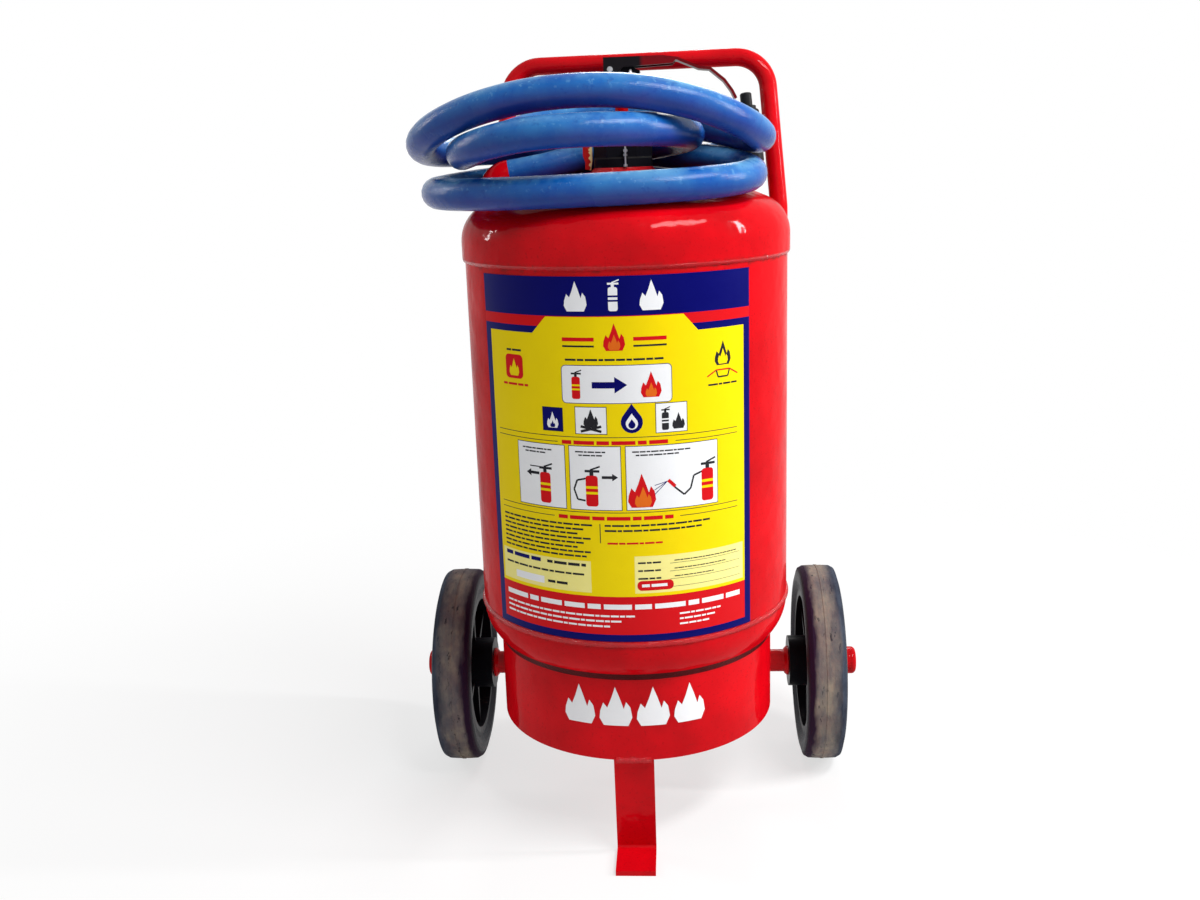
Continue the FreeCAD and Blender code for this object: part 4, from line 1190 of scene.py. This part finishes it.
@dataclass
class Hose:
    """Discharge hose: out of the elbow, three turns round the head, and into the gun."""

    diameter: float = 0.0275
    length: float = 2.53
    gun_nodes: tuple[str, ...] = ("gun_ferrule", "gun_body", "gun_nozzle", "gun_trigger", "trigger_pin")
    outlet: Vector = field(default_factory=lambda: Vector((-0.126, 0.030, 0.6274)))
    outlet_way: Vector = field(default_factory=lambda: Vector((0.984, 0.095, 0.150)).normalized())
    reach: float = 0.016
    gun: Vector = field(default_factory=lambda: Vector((0.1045, 0.0585, 0.6435)))
    gun_way: Vector = field(default_factory=lambda: Vector((0.83, -0.52, 0.16)).normalized())
    lead: float = 0.55        # share of a straight end run where its middle point lies
    past_elbow: float = 0.012
    to_coil: Flat = (0.038, 0.4)    # run into the coil, and share of its rise
    off_coil: Place = (0.030, 0.0, 0.002)
    before_gun: float = 0.014
    per_quarter: int = 4
    fullness: float = 2.2     # power of the oval, where 2 is an ellipse
    bevel_steps: int = 7
    spline_steps: int = 8
    stations: tuple[tuple[Heading, float, float, float], ...] = (
        (Heading.REAR, 0.002, 0.0435, 0.650),
        (Heading.RIGHT, 0.062, -0.038, 0.660),
        (Heading.FRONT, -0.050, -0.149, 0.6645),
        (Heading.LEFT, -0.141, -0.048, 0.649),
        (Heading.REAR, -0.040, 0.064, 0.681),
        (Heading.RIGHT, 0.1265, -0.026, 0.6545),
        (Heading.FRONT, -0.022, -0.132, 0.6975),
        (Heading.LEFT, -0.183, -0.022, 0.655),
        (Heading.REAR, -0.045, 0.080, 0.652),
        (Heading.RIGHT, 0.1175, -0.045, 0.626),
        (Heading.FRONT, -0.010, -0.1375, 0.617),
        (Heading.LEFT, -0.1725, -0.019, 0.617),
        (Heading.REAR, 0.012, 0.1095, 0.6325),
    )

    def rise(self, index: int) -> float:
        """Height gained per quarter turn at a numbered station."""
        heights = [self.first.z] + [s[3] for s in self.stations] + [self.last.z]
        return (heights[index + 2] - heights[index]) / 2

    @property
    def start(self) -> Vector:
        """Where the hose leaves the elbow."""
        return self.outlet + self.outlet_way * self.reach

    @property
    def first(self) -> Vector:
        """End of the straight run out of the elbow."""
        return self.start + self.outlet_way * self.diameter

    @property
    def last(self) -> Vector:
        """Start of the straight run into the gun."""
        return self.gun - self.gun_way * self.diameter

    def quarter(self, index: int) -> list[Vector]:
        """Points of the quarter turn after a station.

        Args:
            index: number of the station.

        Returns:
            Points on a full oval, with a smooth rise.
        """
        heading = self.stations[index][0]
        a = Vector(self.stations[index][1:])
        b = Vector(self.stations[index + 1][1:])
        along_x = heading in (Heading.REAR, Heading.FRONT)
        corner = Vector((b.x, a.y)) if along_x else Vector((a.x, b.y))
        centre = a.xy + b.xy - corner
        points = []
        for step in range(self.per_quarter):
            t = (step + 0.5) / self.per_quarter
            back = math.cos(t * math.pi / 2) ** (2 / self.fullness)
            ahead = math.sin(t * math.pi / 2) ** (2 / self.fullness)
            flat = centre + (a.xy - centre) * back + (b.xy - centre) * ahead
            height = (2 * t ** 3 - 3 * t ** 2 + 1) * a.z + (t ** 3 - 2 * t ** 2 + t) * self.rise(index)
            height += (3 * t ** 2 - 2 * t ** 3) * b.z + (t ** 3 - t ** 2) * self.rise(index + 1)
            points.append(Vector((flat.x, flat.y, height)))
        return points

    def route(self) -> list[Vector]:
        """Lay the hose from the elbow to the gun.

        Returns:
            All its points, in the frame of the scene.
        """
        enter = Vector(self.stations[0][1:])
        leave = Vector(self.stations[-1][1:])
        run, share = self.to_coil
        points = [self.start, self.start.lerp(self.first, self.lead),
                  self.first + self.outlet_way * self.past_elbow,
                  enter - Vector((run, 0, self.rise(0) * share))]
        for index in range(len(self.stations) - 1):
            points += self.quarter(index)
        points += [leave + Vector(self.off_coil), self.last - self.gun_way * self.before_gun,
                   self.last.lerp(self.gun, self.lead), self.gun]
        return [p + Vector((0, VESSEL_Y, 0)) for p in points]

    def build(self) -> None:
        points = self.route()
        data = bpy.data.curves.new("hose", "CURVE")
        data.dimensions = "3D"
        spline = data.splines.new("NURBS")
        spline.points.add(len(points) - 1)
        for target, point in zip(spline.points, points):
            target.co = (*point, 1.0)
        spline.order_u = 3
        spline.use_endpoint_u = True
        spline.resolution_u = self.spline_steps
        data.bevel_depth = self.diameter / 2
        data.bevel_resolution = self.bevel_steps
        data.use_fill_caps = True
        hose = place_object("hose", data)
        data.materials.append(VINYL.material())
        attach(hose, "vessel")
        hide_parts("discharge_hose")
        LOG.info("made hose, %d points", len(points))


@dataclass
class SprayGun:
    """Gun at the end of the hose."""

    black: tuple[str, ...] = ("gun_body", "gun_nozzle", "gun_trigger")

    def build(self) -> None:
        """Dress the gun."""
        for node in self.black:
            dress(node, PLASTIC_BLACK)
        dress("gun_ferrule", ALUMINIUM)
        dress("trigger_pin", STEEL)


@dataclass
class Studio:
    """Camera of the photograph, pale floor and soft lamps."""

    place: Vector = field(default_factory=lambda: Vector((0.047157, -1.156709, 0.641822)))
    turn: float = 0.06805797
    tilt: float = 0.23777012
    roll: float = -0.03401669
    focal: float = 36.061
    sensor: float = 36.0
    nearest: float = 0.05
    lamps: tuple[tuple[str, Place, Flat, float], ...] = (
        ("lamp_left", (-1.8, 0.5, 1.2), (0.05, 0.8), 7.0),
        ("lamp_right", (1.80, -0.15, 1.2), (0.09, 0.8), 22.0),
        ("lamp_top", (0.95, -0.85, 1.9), (1.2, 0.30), 34.0),
        ("lamp_back", (0.2, 1.9, 1.6), (0.8, 0.4), 14.0),
    )
    aim: Place = (0, 0, 0.35)
    paper: Colour = (0.90, 0.90, 0.90)
    white: Colour = (1.0, 1.0, 1.0)
    floor_half: float = 9.0
    fade: Flat = (0.35, 1.1)    # distances over which the floor turns white
    fade_start: float = 0.66    # share of white at the object
    soft_light: float = 0.27

    def camera(self) -> None:
        """Set up the camera."""
        ahead = Vector((-math.sin(self.turn) * math.cos(self.tilt),
                        math.cos(self.turn) * math.cos(self.tilt), -math.sin(self.tilt)))
        level = Vector((math.cos(self.turn), math.sin(self.turn), 0.0))
        rise = level.cross(ahead)
        right = level * math.cos(self.roll) + rise * math.sin(self.roll)
        up = rise * math.cos(self.roll) - level * math.sin(self.roll)
        data = bpy.data.cameras.new("camera")
        data.lens = self.focal
        data.sensor_width = self.sensor
        data.clip_start = self.nearest
        camera = place_object("camera", data)
        columns = Matrix((right, up, -ahead)).transposed().to_4x4()
        camera.matrix_world = Matrix.Translation(self.place) @ columns
        bpy.context.scene.camera = camera

    def lamp(self, name: str, place: Place, size: Flat, power: float) -> None:
        """Add one soft lamp that faces the middle of the object.

        Args:
            name: the lamp's name.
            place: where it stands.
            size: width and height of its face.
            power: its power in watts.
        """
        data = bpy.data.lights.new(name, "AREA")
        data.shape = "RECTANGLE"
        data.size, data.size_y = size
        data.energy = power
        lamp = place_object(name, data)
        lamp.location = place
        towards = Vector(self.aim) - Vector(place)
        lamp.rotation_euler = towards.to_track_quat("-Z", "Y").to_euler()

    def blend(self, g: Graph, share: Socket, first: bpy.types.Node, second: bpy.types.Node,
              output: str) -> None:
        """Blend two shaders into an output.

        Args:
            g: the graph that holds them.
            share: share of the second shader.
            first: the first shader.
            second: the second shader.
            output: name of the output node.
        """
        made = g.node("ShaderNodeMixShader")
        for socket, value in zip(made.inputs, (share, first.outputs[0], second.outputs[0])):
            g.feed(socket, value)
        g.feed(g.tree.nodes[output].inputs["Surface"], made.outputs[0])

    def floor(self) -> None:
        """Lay the pale floor, white to the eye and paper to the light."""
        mesh = bmesh.new()
        bmesh.ops.create_grid(mesh, x_segments=8, y_segments=8, size=self.floor_half)
        floor = mesh_object("studio_floor", mesh)
        material = bpy.data.materials.new("studio_paper")
        material.use_nodes = True
        g = Graph(material.node_tree)
        shader = material.node_tree.nodes["Principled BSDF"]
        g.fill(shader, {"Base Color": self.paper, "Roughness": 0.9, "Specular IOR Level": 0.0})
        white = g.node("ShaderNodeEmission")
        g.fill(white, {"Color": self.white, "Strength": 1.0})
        rays = g.node("ShaderNodeLightPath")
        x, y = g.parts(g.object_point())[:2]
        share = g.span(g.distance(x, y), *self.fade, self.fade_start, 1.0)
        seen = g.maths("MAXIMUM", rays.outputs["Is Camera Ray"], rays.outputs["Is Glossy Ray"])
        self.blend(g, g.times(seen, share), shader, white, "Material Output")
        floor.data.materials.append(material)

    def world(self) -> None:
        """White surroundings for the eye, softer ones for the light."""
        world = bpy.data.worlds.new("studio_world")
        bpy.context.scene.world = world
        world.use_nodes = True
        g = Graph(world.node_tree)
        soft = world.node_tree.nodes["Background"]
        g.fill(soft, {"Color": self.white, "Strength": self.soft_light})
        white = g.node("ShaderNodeBackground")
        g.fill(white, {"Color": self.white, "Strength": 1.0})
        rays = g.node("ShaderNodeLightPath")
        seen = g.maths("MAXIMUM", rays.outputs["Is Camera Ray"], rays.outputs["Is Transmission Ray"])
        seen = g.maths("MAXIMUM", seen, rays.outputs["Is Glossy Ray"])
        self.blend(g, seen, soft, white, "World Output")

    def build(self) -> None:
        """Set up camera, lamps, floor and world."""
        self.camera()
        for lamp in self.lamps:
            self.lamp(*lamp)
        self.floor()
        self.world()
        bpy.context.scene.view_settings.view_transform = "Standard"


def main() -> None:
    """Build every sub-assembly in order and report it."""
    logging.basicConfig(level=logging.INFO, format="%(name)s: %(message)s")
    for part in (Studio(), Hose(), Vessel(), Undercarriage(), PushHandle(), OperatingHead(),
                 SprayGun()):
        LOG.info("building %s", type(part).__name__)
        part.build()


if __name__ == "__main__":
    main()
